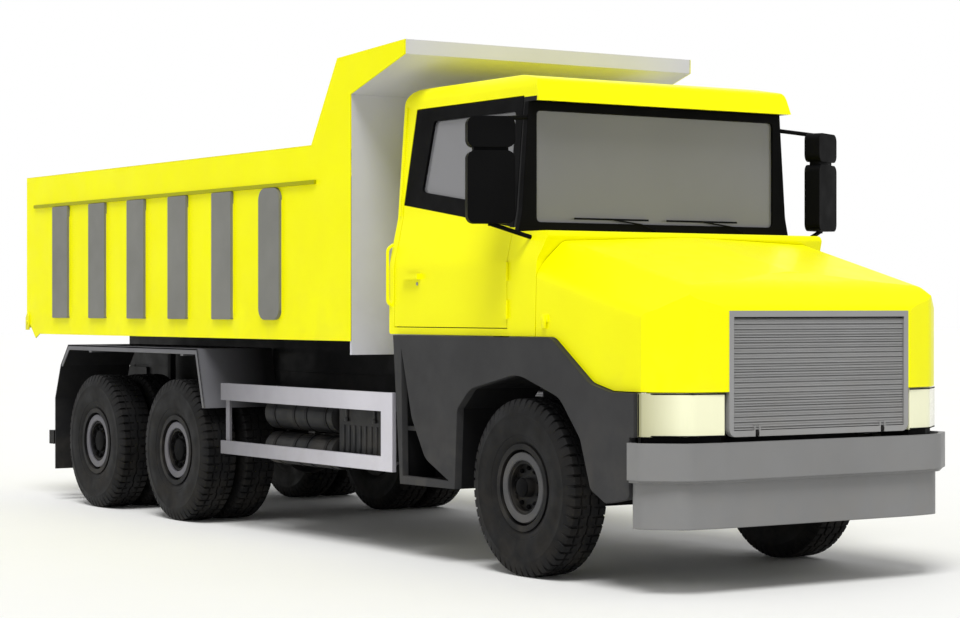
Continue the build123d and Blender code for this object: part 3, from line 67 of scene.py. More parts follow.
class Finish:
    """A material whose nodes vary colour, roughness and surface from place to place, in metres."""

    def __init__(self, name, rough, metal=0.0, coat=0.0, shine=0.5):
        self.material = bpy.data.materials.new(name)
        self.material.use_nodes = True
        self.tree = self.material.node_tree
        self.shader = self.tree.nodes["Principled BSDF"]
        self.shader.inputs["Metallic"].default_value = metal
        self.shader.inputs["Roughness"].default_value = rough
        self.shader.inputs["Coat Weight"].default_value = coat
        self.shader.inputs["Coat Roughness"].default_value = 0.08
        self.shader.inputs["Specular IOR Level"].default_value = shine
        self.place = self.add("ShaderNodeTexCoord").outputs["Object"]
        self.colour = None
        self.rough = rough

    def add(self, kind, **settings):
        node = self.tree.nodes.new(kind)
        for key, value in settings.items():
            setattr(node, key, value)
        return node

    def feed(self, socket, value):
        if isinstance(value, bpy.types.NodeSocket):
            self.tree.links.new(value, socket)
        else:
            socket.default_value = value

    def noise(self, scale, detail, stretch=None, distortion=0.0):
        node = self.add("ShaderNodeTexNoise")
        node.inputs["Scale"].default_value = scale
        node.inputs["Detail"].default_value = detail
        node.inputs["Distortion"].default_value = distortion
        source = self.place
        if stretch:
            mapping = self.add("ShaderNodeMapping")
            mapping.inputs["Scale"].default_value = stretch
            self.feed(mapping.inputs["Vector"], source)
            source = mapping.outputs[0]
        self.feed(node.inputs["Vector"], source)
        return node.outputs["Fac"]

    def span(self, value, low, high, to_low=0.0, to_high=1.0):
        """The value with one range stretched to another and held at its ends."""
        node = self.add("ShaderNodeMapRange", clamp=True)
        self.feed(node.inputs[0], value)
        for at, number in enumerate((low, high, to_low, to_high), start=1):
            node.inputs[at].default_value = number
        return node.outputs[0]

    def maths(self, operation, a, b=0.0):
        node = self.add("ShaderNodeMath", operation=operation)
        self.feed(node.inputs[0], a)
        self.feed(node.inputs[1], b)
        return node.outputs[0]

    def both(self, *masks):
        """Where all the masks meet. A number among them weakens the result."""
        total = masks[0]
        for mask in masks[1:]:
            total = self.maths("MULTIPLY", total, mask)
        return total

    def mix(self, share, a, b):
        node = self.add("ShaderNodeMix", data_type="RGBA")
        self.feed(node.inputs["Factor"], share)
        self.feed(node.inputs[6], a)
        self.feed(node.inputs[7], b)
        return node.outputs[2]

    def mix_value(self, share, a, b):
        node = self.add("ShaderNodeMix", data_type="FLOAT")
        self.feed(node.inputs["Factor"], share)
        self.feed(node.inputs[2], a)
        self.feed(node.inputs[3], b)
        return node.outputs[0]

    def axis(self, name):
        node = self.add("ShaderNodeSeparateXYZ")
        self.feed(node.inputs[0], self.place)
        return node.outputs[name]

    def band(self, name, low, high, mirrored=False):
        """1 where that coordinate, or its size if mirrored, lies between low and high."""
        value = self.axis(name)
        if mirrored:
            value = self.maths("ABSOLUTE", value)
        over = self.maths("GREATER_THAN", value, low)
        under = self.maths("LESS_THAN", value, high)
        return self.both(over, under)

    def paint(self, code, tint, scale=1.6):
        """Base colour that drifts slightly from place to place."""
        base = linear(code)
        dark = tuple(c * (1 - 2 * tint) for c in base[:3]) + (1.0,)
        light = tuple(min(1.0, c * (1 + tint) + tint * 0.02) for c in base[:3]) + (1.0,)
        share = self.span(self.noise(scale, 6.0), 0.35, 0.65)
        self.colour = self.mix(share, dark, light)
        return self

    def over(self, mask, code):
        self.colour = self.mix(mask, self.colour, linear(code))
        return self

    def worn(self, mask, code, rough):
        """Another colour and another roughness under the mask."""
        self.over(mask, code)
        self.rough = self.mix_value(mask, self.rough, rough)
        return self

    def dust(self, amount, top, code="8C8478", scale=5.0):
        """Dirt that thins out towards the height top."""
        height = self.span(self.axis("Z"), top, 0.1, 0.0, 1.0)
        patches = self.span(self.noise(scale, 8.0, distortion=0.6), 0.42, 0.68)
        return self.worn(self.both(height, patches, amount), code, 0.9)

    def bevelled(self, radius):
        """The surface's normal as it would be with rounded edges."""
        node = self.add("ShaderNodeBevel", samples=3)
        node.inputs["Radius"].default_value = radius
        return node.outputs[0]

    def edges(self, width, share, code, rough):
        """Wear on outside edges, found by comparing the rounded and the true normal."""
        rounded = self.bevelled(width)
        geometry = self.add("ShaderNodeNewGeometry")
        dot = self.add("ShaderNodeVectorMath", operation="DOT_PRODUCT")
        self.feed(dot.inputs[0], rounded)
        self.feed(dot.inputs[1], geometry.outputs["Normal"])
        edge = self.span(dot.outputs["Value"], 0.97, 0.80)
        broken = self.span(self.noise(22.0, 8.0), 0.50, 0.60)
        return self.worn(self.both(edge, broken, share), code, rough)

    def done(self, grain=60.0, strength=0.1, depth=0.001, rough_spread=0.08, soften=0.0, stretch=None):
        """Link colour, roughness and a fine bump, and hand back the material."""
        self.feed(self.shader.inputs["Base Color"], self.colour)
        drift = self.span(self.noise(7.0, 5.0), 0.3, 0.7, -rough_spread, rough_spread)
        self.feed(self.shader.inputs["Roughness"], self.maths("ADD", drift, self.rough))
        bump = self.add("ShaderNodeBump")
        bump.inputs["Strength"].default_value = strength
        bump.inputs["Distance"].default_value = depth
        self.feed(bump.inputs["Height"], self.noise(grain, 3.0, stretch))
        if soften:
            self.feed(bump.inputs["Normal"], self.bevelled(soften))
        self.feed(self.shader.inputs["Normal"], bump.outputs[0])
        return self.material


lens = dict(rough=0.15, coat=0.8)
lens_ribs = dict(grain=8.0, strength=0.3, depth=0.003, stretch=(1.0, 20.0, 1.0))
hub = dict(rough=0.45, metal=0.3)

# Plain finishes: look, material, shader, colour (code, drift, its scale), dust (amount, height that it
# reaches, code, scale) and surface
plain_looks = [
    ("ribs", "rib_grey", dict(rough=0.5, shine=0.2), ("7A7A75", 0.04), (0.15, 2.2), dict(soften=0.006)),
    ("headboard", "headboard_grey", dict(rough=0.5, shine=0.3), ("D2D2DC", 0.02), (0.2, 2.6),
     dict(grain=120.0, soften=0.004)),
    ("floor", "bed_floor_steel", dict(rough=0.42, metal=0.6), ("8A8780", 0.12, 3.0),
     (0.8, 9.0, "7A6A52", 2.5), dict(grain=40.0, strength=0.25, depth=0.003, stretch=(0.3, 1.0, 1.0))),
    ("bed_steel", "bed_fittings", dict(rough=0.45, shine=0.2), ("F2EC04", 0.05), (0.5, 3.0),
     dict(grain=200.0)),
    ("trim", "trim_black", dict(rough=0.6, shine=0.05), (near_black, 0.05), (),
     dict(grain=900.0, strength=0.12, depth=0.0004, soften=0.008)),
    ("mirror_shell", "mirror_black", dict(rough=0.6, shine=0.05), (near_black, 0.05), (),
     dict(grain=1200.0, strength=0.2, depth=0.0004, soften=0.01)),
    ("mirror_glass", "mirror_glass", dict(rough=0.04, metal=1.0), ("B8BABC", 0.02), (),
     dict(grain=4.0, strength=0.01, rough_spread=0.02)),
    ("grille", "grille_grey", dict(rough=0.45), ("929292", 0.03), (0.3, 1.7),
     dict(grain=500.0, strength=0.1, soften=0.003)),
    ("chassis", "chassis_black", dict(rough=0.5, shine=0.12), ("0C0C0E", 0.1), (0.25, 1.3, "5A5348"),
     dict(grain=90.0, strength=0.2, depth=0.0012, soften=0.004)),
    ("spring", "spring_steel", dict(rough=0.6, metal=0.2), ("1A1918", 0.15), (0.9, 1.4, "5A4632"),
     dict(grain=60.0, strength=0.3, depth=0.001)),
    ("edging", "mudguard_edging", dict(rough=0.4, metal=0.3), ("5C5C60", 0.05), (0.25, 1.5),
     dict(grain=260.0, soften=0.002)),
    ("tank", "tank_paint", dict(rough=0.45, shine=0.15), ("111214", 0.08), (0.3, 1.1),
     dict(grain=240.0, strength=0.1, stretch=(0.1, 1.0, 1.0), soften=0.01)),
    ("silencer", "silencer_steel", dict(rough=0.5, metal=0.8), ("77726A", 0.2), (0.8, 1.4, "6A4A30"),
     dict(grain=70.0, strength=0.2)),
    ("steel", "plain_steel", dict(rough=0.35, metal=0.9), ("8C8E92", 0.08), (0.4, 1.4), dict(grain=240.0)),
    ("chrome", "ram_chrome", dict(rough=0.12, metal=1.0), ("C8CACC", 0.03), (),
     dict(grain=30.0, strength=0.03, rough_spread=0.04)),
    ("ram", "ram_grey", dict(rough=0.4), ("5C6064", 0.06), (0.7, 1.5), dict(grain=200.0, soften=0.004)),
    ("engine", "engine_paint", dict(rough=0.5), ("3C4A44", 0.1), (0.9, 2.4, "4A4238"),
     dict(grain=70.0, strength=0.3, depth=0.002, soften=0.006)),
    ("engine_dark", "engine_covers", dict(rough=0.4, metal=0.5), ("55585A", 0.08), (0.6, 2.4),
     dict(grain=90.0, strength=0.2)),
    ("rim", "wheel_paint", dict(rough=0.5, shine=0.12), ("111112", 0.06), (0.15, 1.2),
     dict(grain=300.0, strength=0.12, soften=0.003)),
    ("hub_ring", "hub_ring", hub, ("5C5B61", 0.04), (0.2, 1.2), dict(grain=200.0, soften=0.002)),
    ("hub_ring_front", "hub_ring_front", hub, ("3E3E40", 0.04), (0.2, 1.2),
     dict(grain=200.0, soften=0.002)),
    ("rubber", "tyre_rubber", dict(rough=0.62, shine=0.12), ("151516", 0.1, 9.0), (0.12, 1.3, "5C554A", 7.0),
     dict(grain=260.0, strength=0.2, depth=0.0008, rough_spread=0.1)),
    ("amber", "amber_lens", lens, ("E07A10", 0.02), (), dict(lens_ribs, stretch=(20.0, 20.0, 1.0))),
    ("red_lens", "red_lens", lens, ("B01410", 0.02), (), lens_ribs),
    ("white_lens", "white_lens", lens, ("E8E8E4", 0.02), (), lens_ribs),
    ("interior", "interior_plastic", dict(rough=0.6), ("2E2F32", 0.06), (),
     dict(grain=900.0, strength=0.25, depth=0.0006, soften=0.008)),
    ("dial", "dial_faces", dict(rough=0.3), ("D4D4CE", 0.02), (), dict(grain=300.0)),
    ("seat_base", "seat_base_grey", dict(rough=0.55), ("26272A", 0.05), (), dict(grain=600.0, soften=0.006)),
    ("steering", "steering_leather", dict(rough=0.5), ("161616", 0.08), (),
     dict(grain=420.0, strength=0.35, depth=0.0008, soften=0.004)),
]


def plain(material, shader, colour, dust, surface):
    finish = Finish(material, **shader).paint(*colour)
    if dust:
        finish.dust(*dust)
    return finish.done(**surface)


def body_paint():
    """Yellow, with the windscreen's pillars black and the cab lined inside."""
    body = Finish("body_yellow", rough=0.4, coat=0.04, shine=0.1).paint(truck_yellow, 0.012)
    body.over(body.both(body.band("X", 2.92, 3.12), body.band("Z", 2.20, 3.03)), near_black)
    body.worn(inside_cab(body), "48494C", 0.62).dust(0.2, 1.5)
    return body.done(grain=260.0, strength=0.03, depth=0.0005, rough_spread=0.03)


def inside_cab(look):
    """1 on the lined inner faces of the cab and doors, halfway through their walls."""
    sill_z, dash_z, belt_z, lining_z, ceiling_z = 1.532, 2.15, 2.30, 3.03, 3.168
    rear_x, windscreen_x, firewall_x = 1.55, 3.005, 3.245
    height = look.axis("Z")
    lean = look.span(height, belt_z, 3.19, 0.0, 0.064)
    side = look.maths("SUBTRACT", look.span(height, 1.98, belt_z, 1.140, 1.069), lean)
    within = look.maths("LESS_THAN", look.maths("ABSOLUTE", look.axis("Y")), side)
    cabin = look.both(look.band("X", rear_x, windscreen_x), look.band("Z", sill_z, lining_z))
    foot_well = look.both(look.band("X", rear_x, firewall_x), look.band("Z", sill_z, dash_z))
    room = look.both(within, look.maths("MAXIMUM", cabin, foot_well))
    ceiling = look.both(look.band("X", 1.68, 2.82), look.band("Z", lining_z, ceiling_z),
                        look.band("Y", -0.93, 0.93))
    return look.maths("MAXIMUM", room, ceiling)


def bed_paint():
    """Yellow with an olive strip of painted shadow below the top rail outside, worn to rusty steel inside."""
    bed = Finish("bed_yellow", rough=0.44, shine=0.08).paint(truck_yellow, 0.015)
    inner = bed.band("Y", -1.2205, 1.2205)
    low_down = bed.span(bed.axis("Z"), 2.95, 2.1, -0.14, 0.24)
    streaks = bed.maths("ADD", low_down, bed.noise(2.2, 10.0, stretch=(0.6, 1.0, 5.0)))
    bed.worn(bed.both(inner, bed.span(streaks, 0.44, 0.56)), "7F7C73", 0.5)
    spots = bed.span(bed.noise(9.0, 8.0, stretch=(1.0, 1.0, 2.0)), 0.56, 0.70)
    bed.worn(bed.both(inner, spots, bed.span(bed.axis("Z"), 2.7, 1.7, 0.0, 0.7)), "6B4A30", 0.75)
    # Painted shadow: an olive strip under the outer top rail.
    rail_shadow_strip = bed.both(bed.band("Z", 2.5745, 2.6045), bed.band("Y", 1.2255, 2.0, mirrored=True))
    bed.over(rail_shadow_strip, "A8A800").dust(0.2, 2.0)
    return bed.done(grain=200.0, strength=0.06, depth=0.0008, soften=0.004)


def tailgate_paint():
    gate = Finish("tailgate_yellow", rough=0.44, shine=0.08).paint(truck_yellow, 0.02)
    gate.edges(0.006, 0.7, "9A958A", 0.5).dust(0.5, 2.6)
    return gate.done(grain=200.0, soften=0.004)


def fender_plastic():
    """Dark grey, with painted shade that darkens the faces towards the wheels."""
    fender = Finish("fender_plastic", rough=0.55, shine=0.12).paint("363637", 0.05).dust(0.12, 1.3)
    # Painted shade on the inner faces of the wheel arches.
    fender.over(fender.band("Y", -1.148, 1.148), "151516")
    return fender.done(grain=700.0, strength=0.2, depth=0.0006, soften=0.01)


def bumper_paint():
    bumper = Finish("bumper_grey", rough=0.5, shine=0.3).paint("808080", 0.03)
    bumper.edges(0.012, 0.25, "9A9A98", 0.6).dust(0.2, 1.0)
    return bumper.done(grain=500.0, strength=0.12, depth=0.0006, soften=0.012)


def guard_silver():
    """Silver with painted shade that darkens it more and more towards the rear."""
    silver = Finish("guard_silver", rough=0.4, metal=0.5).paint("D0CED6", 0.03)
    # Painted shade: the silver turns dark and rough towards the rear.
    silver.worn(silver.span(silver.axis("X"), 1.3, -1.1, 0.0, 0.85), "3C3C40", 0.6).dust(0.2, 1.2)
    return silver.done(grain=300.0, strength=0.08, soften=0.004, stretch=(0.1, 1.0, 1.0))


def mudguard_grey():
    """Grey sheet, blackened by painted shade below and towards the frame, and black on the rubber behind the
    wheels.
    """
    sheet = Finish("mudguard_grey", rough=0.42, metal=0.3).paint("7A7A7F", 0.05)
    # Painted shade, darkest towards the frame.
    painted_inward_shade = sheet.span(sheet.maths("ABSOLUTE", sheet.axis("Y")), 1.22, 0.68)
    # Painted shade on the faces that look down.
    split = sheet.add("ShaderNodeSeparateXYZ")
    sheet.feed(split.inputs[0], sheet.add("ShaderNodeNewGeometry").outputs["Normal"])
    under = sheet.span(split.outputs["Z"], -0.02, -0.1)
    rubber_x = front_axle_m + axle_x["rear"] / 1000 - 0.53
    behind = sheet.maths("LESS_THAN", sheet.axis("X"), rubber_x)
    # Painted shade below and inwards, together with the black rubber behind the wheels.
    dark = sheet.maths("MAXIMUM", sheet.maths("MAXIMUM", painted_inward_shade, under), behind)
    return sheet.worn(dark, "111113", 0.7).dust(0.12, 1.2).done(grain=260.0, soften=0.004)


def seat_cloth():
    """Coarse cloth with small flecks of colour."""
    weave = Finish("seat_cloth", rough=0.9).paint("2B3038", 0.12, 14.0)
    weave.shader.inputs["Sheen Weight"].default_value = 0.4
    fleck = weave.span(weave.noise(220.0, 2.0), 0.62, 0.70)
    weave.over(weave.both(fleck, 0.5), "5A6472")
    return weave.done(grain=420.0, strength=0.6, depth=0.0012, stretch=(1.0, 1.0, 3.0))


def cab_glass():
    # Painted reflection: the panes are a mostly opaque grey that stands in for the pale sky reflected in
    # them, with a little of the view through.
    pane = Finish("cab_glass", rough=0.06, coat=0.5).paint("808083", 0.03, 0.8)
    pane.shader.inputs["Alpha"].default_value = 0.76
    return pane.done(grain=3.0, strength=0.03, depth=0.002, rough_spread=0.03)


def lamp_lens():
    """Ribbed cream lens, with painted shade darkening it where it wraps round the corner."""
    cream = Finish("lamp_lens", rough=0.16, coat=0.8).paint("F6F6D0", 0.01)
    # Painted shade towards the corner of the lens.
    cream.over(cream.span(cream.maths("ABSOLUTE", cream.axis("Y")), 1.0, 1.17), "B9B78E")
    return cream.done(grain=6.0, strength=0.35, depth=0.004, stretch=(1.0, 26.0, 1.0))


def finishes():
    made = {look: plain(*columns) for look, *columns in plain_looks}
    made.update(yellow=body_paint(), bed=bed_paint(), tailgate=tailgate_paint(), fender=fender_plastic(),
                bumper=bumper_paint(), silver=guard_silver(), mudguard=mudguard_grey(), cloth=seat_cloth(),
                glass=cab_glass(), lamp=lamp_lens())
    return made


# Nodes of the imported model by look
cad_looks = {
    "yellow": ["cab", "door_left", "door_right", "bonnet"],
    "bed": ["bed_sides"],
    "tailgate": ["tailgate"],
    "ribs": ["bed_ribs"],
    "headboard": ["headboard"],
    "floor": ["bed_floor"],
    "trim": ["windscreen_frame", "window_frame_left", "window_frame_right"],
    "mirror_shell": ["mirrors"],
    "fender": ["fenders"],
    "bumper": ["bumper"],
    "grille": ["grille"],
    "chassis": ["frame_rails", "cross_members", "tipping_subframe", "bed_underframe", "front_axle",
                "drive_axles", "propshafts", "rear_underrun", "bonnet_hinge_ears", "radiator",
                "knuckle_left", "knuckle_right", "tie_rod"],
    "spring": ["springs"],
    "silver": ["side_guards"],
    "mudguard": ["mudguards"],
    "tank": ["side_tanks"],
    "engine": ["engine"],
    "silencer": ["exhaust"],
    "glass": ["cab_glass", "door_glass_left", "door_glass_right"],
    "lamp": ["headlamps"],
    "interior": ["dashboard"],
    "seat_base": ["seat_bases", "seats"],
    "steering": ["steering_wheel"],
    "ram": ["hoist_barrels"],
    "chrome": ["hoist_stages", "hoist_rods"],
    "rim": [name for name in nodes if name.startswith("rim")],
    "rubber": [name for name in nodes if name.startswith("tyre")],
}


def dress_nodes():
    for look, names in cad_looks.items():
        for name in names:
            nodes[name].data.materials.clear()
            nodes[name].data.materials.append(looks[look])


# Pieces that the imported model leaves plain
class Piece:
    def __init__(self, name, body, look, mirrored=False):
        self.name = name
        self.body = body
        self.look = look
        self.mirrored = mirrored
        self.bm = bmesh.new()

    def bevel(self, verts, edge):
        if edge:
            edges = list(dict.fromkeys(e for v in verts for e in v.link_edges))
            bmesh.ops.bevel(self.bm, geom=edges, offset=edge, segments=2, profile=0.5, affect="EDGES",
                            clamp_overlap=True)

    def prism(self, outline, axis, low, high, edge=0.0):
        """Outline in the plane across an axis, run along it. Pairs are (y, z), (x, z) or (x, y)."""
        at = "xyz".index(axis)

        def corner(pair, level):
            values = list(pair)
            values.insert(at, level)
            return self.bm.verts.new(values)

        lows = [corner(pair, low) for pair in outline]
        highs = [corner(pair, high) for pair in outline]
        count = len(outline)
        self.bm.faces.new(lows)
        self.bm.faces.new(highs[::-1])
        for n in range(count):
            after = (n + 1) % count
            self.bm.faces.new((lows[n], highs[n], highs[after], lows[after]))
        self.bevel(lows + highs, edge)
        return self

    def block(self, x0, x1, y0, y1, z0, z1, edge=0.0):
        return self.prism([(x0, y0), (x1, y0), (x1, y1), (x0, y1)], "z", z0, z1, edge)

    def circle(self, middle, side, up, radius, steps):
        ring = []
        for n in range(steps):
            turn = 2 * math.pi * n / steps
            ring.append(self.bm.verts.new(middle + radius * (side * math.cos(turn) + up * math.sin(turn))))
        return ring

    def skin(self, first, second):
        """Faces between two rings, of which one may be a single point."""
        steps = max(len(first), len(second))
        for n in range(steps):
            after = (n + 1) % steps
            corners = [first[n % len(first)], first[after % len(first)],
                       second[after % len(second)], second[n % len(second)]]
            self.bm.faces.new(list(dict.fromkeys(corners)))

    def turned(self, centre, axis, rows, steps):
        """Rows of (distance along the axis, radius) turned about it. A radius of 0 closes an end."""
        centre = Vector(centre)
        along = Vector(axis).normalized()
        side = along.orthogonal().normalized()
        up = along.cross(side)
        rings = []
        for distance, radius in rows:
            middle = centre + along * distance
            if radius == 0:
                rings.append([self.bm.verts.new(middle)])
            else:
                rings.append(self.circle(middle, side, up, radius, steps))
        for first, second in zip(rings, rings[1:]):
            self.skin(first, second)
        for ring in (rings[0], rings[-1]):
            if len(ring) > 1 and rows[0] != rows[-1]:
                self.bm.faces.new(ring)
        return self

    def rod(self, start, end, radius, steps, edge=0.0):
        start = Vector(start)
        run = Vector(end) - start
        length = run.length
        rows = [(0, radius - edge), (edge, radius), (length - edge, radius), (length, radius - edge)]
        if not edge:
            rows = rows[1:3]
        return self.turned(start, run, rows, steps)

    def nut(self, centre, axis, radius, height):
        """Hexagon with the end of its bolt standing out."""
        along = Vector(axis)
        self.rod(centre, Vector(centre) + along * height, radius, 6, radius * 0.12)
        return self.rod(centre, Vector(centre) + along * height * 1.5, radius * 0.5, 10)

    def tube(self, points, radius, steps):
        """Pipe through points, with rounded bends."""
        knots = [Vector(p) for p in points]
        path = [knots[0]]
        for before, knot, after in zip(knots, knots[1:], knots[2:]):
            reach = min((before - knot).length, (after - knot).length, 6 * radius) * 0.45
            start = knot + (before - knot).normalized() * reach
            end = knot + (after - knot).normalized() * reach
            for n in range(5):
                t = n / 4
                path.append(start * (1 - t) ** 2 + knot * 2 * t * (1 - t) + end * t ** 2)
        path.append(knots[-1])
        rings = []
        side = None
        for n, point in enumerate(path):
            ahead = path[min(n + 1, len(path) - 1)] - path[max(n - 1, 0)]
            ahead.normalize()
            if side is None:
                side = ahead.orthogonal().normalized()
            else:
                side = (side - ahead * side.dot(ahead)).normalized()
            rings.append(self.circle(point, side, ahead.cross(side), radius, steps))
        for first, second in zip(rings, rings[1:]):
            self.skin(first, second)
        self.bm.faces.new(rings[0][::-1])
        self.bm.faces.new(rings[-1])
        return self

    def finish(self, slot, replaced=(), smooth=32):
        bm = self.bm
        if self.mirrored:
            copies = bmesh.ops.duplicate(bm, geom=bm.verts[:] + bm.edges[:] + bm.faces[:])["geom"]
            for v in copies:
                if isinstance(v, bmesh.types.BMVert):
                    v.co.y = -v.co.y
        for v in bm.verts:
            v.co = v.co / 1000 + Vector((front_axle_m, 0.0, 0.0))
        bmesh.ops.recalc_face_normals(bm, faces=bm.faces[:])
        mesh = bpy.data.meshes.new(self.name)
        bm.to_mesh(mesh)
        bm.free()
        mesh.materials.append(looks[self.look])
        mesh.shade_smooth()
        mesh.set_sharp_from_angle(angle=math.radians(smooth))
        made = bpy.data.objects.new(self.name, mesh)
        bpy.context.scene.collection.objects.link(made)
        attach(made, self.body)
        if replaced:
            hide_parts(*replaced)
        return made


# Tread rows from the middle groove outwards: offset, radius, depth of the cross slots, zigzag
tread_rows = [
    (4, 546, 0, 5), (7, 560, 0, 5), (30, 560, 0, 5), (33, 560, 9, 5), (56, 560, 9, 5), (59, 545, 0, 5),
    (71, 545, 0, 5), (74, 560, 14, 5), (96, 560, 14, 0), (118, 559, 15, 0), (128, 548, 16, 0),
    (136, 528, 12, 0), (141, 510, 6, 0), (145, 494, 0, 0), (147, 476, 0, 0), (148.5, 472, 0, 0),
    (148.5, 464, 0, 0), (147.5, 460, 0, 0), (149, 425, 0, 0), (149.3, 398, 0, 0), (147, 366, 0, 0),
    (141, 334, 0, 0), (138, 331, 0, 0), (137, 322, 0, 0), (131, 302, 0, 0), (123, 286, 0, 0),
    (118, 277, 0, 0), (116, 256, 0, 0),
]
tread_pitches = 54
# Cuts across the tread: place in the pitch, and share of the slot's depth there
slot_columns = [(0.0, 0.0), (0.70, 0.0), (0.75, 1.0), (0.95, 1.0)]


def wheel_body(axle, side):
    return f"wheel_front_{side}" if axle == "front" else f"wheels_{axle}_{side}"


def add_tyre(piece, x, y):
    rows = [(-offset, *rest) for offset, *rest in reversed(tread_rows)] + tread_rows
    rings = []
    for pitch in range(tread_pitches):
        for column, (share, cut) in enumerate(slot_columns):
            turn = 2 * math.pi * (pitch + share) / tread_pitches
            lean = 1 if (pitch + (column > 1)) % 2 else -1
            ring = []
            for offset, radius, depth, zigzag in rows:
                reach = radius - depth * cut
                ring.append(piece.bm.verts.new((x + reach * math.sin(turn), y + offset + lean * zigzag,
                                                axle_z + reach * math.cos(turn))))
            rings.append(ring)
    for first, second in zip(rings, rings[1:] + rings[:1]):
        piece.skin(first, second)


def tyres():
    for side, s in sides:
        for axle, x in axle_x.items():
            name, middles = f"tyre_front_{side}", [s * single_y]
            if axle != "front":
                name, middles = f"tyres_{axle}_{side}", [s * twin_y - twin_half, s * twin_y + twin_half]
            piece = Piece(f"{name}_treaded", wheel_body(axle, side), "rubber")
            for y in middles:
                add_tyre(piece, x, y)
            piece.finish("tyre", [name], 24)


def hubs():
    """A dark drum, a grey ring round its end, and in the ring a cap with ten nuts."""
    bolt_circle = 122
    for side, s in sides:
        out = (0, s, 0)
        for axle, x in axle_x.items():
            front = axle == "front"
            low, high = (71, 124) if front else (15, 290)
            centre = (x, s * (single_y if front else twin_y), axle_z)
            body = wheel_body(axle, side)
            drum = Piece(f"hub_drum_{axle}_{side}", body, "rim")
            drum.turned(centre, out, [(low, 150), (low, 222), (high - 22, 222), (high - 18, 219),
                                      (high - 18, 150), (low, 150)], 72)
            drum.finish("rim_grey")
            ring = Piece(f"hub_ring_{axle}_{side}", body, "hub_ring_front" if front else "hub_ring")
            ring.turned(centre, out, [(high - 17, 171), (high - 17, 224), (high - 5, 224), (high, 219),
                                      (high, 177), (high - 5, 171), (high - 17, 171)], 96)
            ring.finish("silver")
            cap = Piece(f"hub_cap_{axle}_{side}", body, "trim")
            if front:
                seat = low
                cap.turned(centre, out, [(high - 1, 0), (high - 1, 61), (high + 8, 58), (high + 14, 40),
                                         (high + 15, 0)], 48)
            else:
                seat = high - 40
                cap.turned(centre, out, [(seat - 12, 0), (seat - 12, 149), (seat, 149), (seat, 90),
                                         (seat + 20, 84), (seat + 24, 76), (seat + 24, 0)], 64)
            for n in range(10):
                turn = 2 * math.pi * n / 10
                foot = (x + bolt_circle * math.sin(turn), centre[1] + s * seat,
                        axle_z + bolt_circle * math.cos(turn))
                cap.nut(foot, out, 15, 16)
            cap.finish("black_trim")


# Front: grille, lamps, wheel arches, bonnet latches and towing eyes
def grille_trim():
    face_x, half, louvre_h = 1484, 684, 14.5
    louvres = Piece("grille_louvres", "bonnet", "grille")
    for n in range(42):
        z = 971 + n * 15.6
        top = z + louvre_h
        louvres.prism([(face_x - 2, z), (face_x, z), (face_x - 10, top), (face_x - 12, top)],
                      "y", 6 - half, half - 6)
    louvres.finish("mid_grey", smooth=20)
    trim = Piece("grille_edging", "bonnet", "trim", mirrored=True)
    trim.block(face_x, face_x + 5.5, half - 5, half, 975, 1634, 1.5)
    trim.block(face_x, face_x + 5.5, -1, half, 1630, 1635, 1.5)
    trim.finish("black_trim")


def lamp_trim():
    """Bezels below, above and behind each lamp."""
    back_x, low, top, edge = 1207, 935, 1189, 8
    bezel = Piece("headlamp_bezels", "chassis", "trim", mirrored=True)
    outer = [(1486, 736), (1441, 946), (1301, 1125), (1251, 1170), (back_x, 1174)]
    inner = [(1470, 740), (1428, 936), (1292, 1110), (1246, 1156), (back_x, 1160)]
    for z in (low, top - edge):
        bezel.prism(outer + inner[::-1], "z", z, z + edge, 2.0)
    bezel.prism([(back_x + 2, 1168), (back_x + 14, 1174.5), (back_x + 2, 1174.5)],
                "z", low + edge, top - edge)
    bezel.finish("black_trim")


def arch_shields():
    """Shields over the front wheels, and dark fillers under the lamps."""
    shield = Piece("inner_shields", "chassis", "chassis", mirrored=True)
    shield.prism([(-560, 905), (-545, 1160), (-300, 1240), (0, 1276), (290, 1225), (452, 1140), (640, 955),
                  (655, 905)], "y", 612, 618, 1.5)
    shield.finish("chassis_black")
    filler = Piece("lamp_fillers", "chassis", "trim", mirrored=True)
    filler.prism([(1207, 748), (1455, 748), (1418, 930), (1284, 1098), (1240, 1145), (1207, 1145)],
                 "z", 862, 935, 2.0)
    filler.finish("black_trim")


def latches_and_eyes():
    latch = Piece("bonnet_latches", "bonnet", "yellow", mirrored=True)
    latch.block(215, 290, 1158, 1172, 1600, 1650, 5)
    latch.block(232, 272, 1166, 1178, 1560, 1640, 4)
    latch.finish("yellow_paint")
    eye_x, eye_z = 1494, 780
    eye = Piece("towing_eyes", "chassis", "chassis", mirrored=True)
    eye.block(eye_x - 16, eye_x + 12, 420, 470, eye_z - 35, eye_z + 35, 5)
    eye.rod((eye_x, 400, eye_z), (eye_x, 490, eye_z), 13, 20, 2)
    eye.finish("chassis_black")


# Cab outside: wipers, mirrors, handles, steps and gutters
def wipers():
    wiper = Piece("wipers", "chassis", "trim")
    for pivot_y, end_y in ((720, 60), (-30, -690)):
        wiper.rod((-92, pivot_y, 2190), (-84, pivot_y, 2190), 16, 16, 2)
        wiper.tube([(-86, pivot_y, 2190), (-84, pivot_y - 120, 2232),
                    (-88, (pivot_y + end_y) / 2 - 40, 2262)], 5, 8)
        wiper.prism([(-96, 2256), (-90, 2256), (-92, 2268), (-95, 2268)], "y", end_y, pivot_y - 60)
    wiper.finish("black_trim")


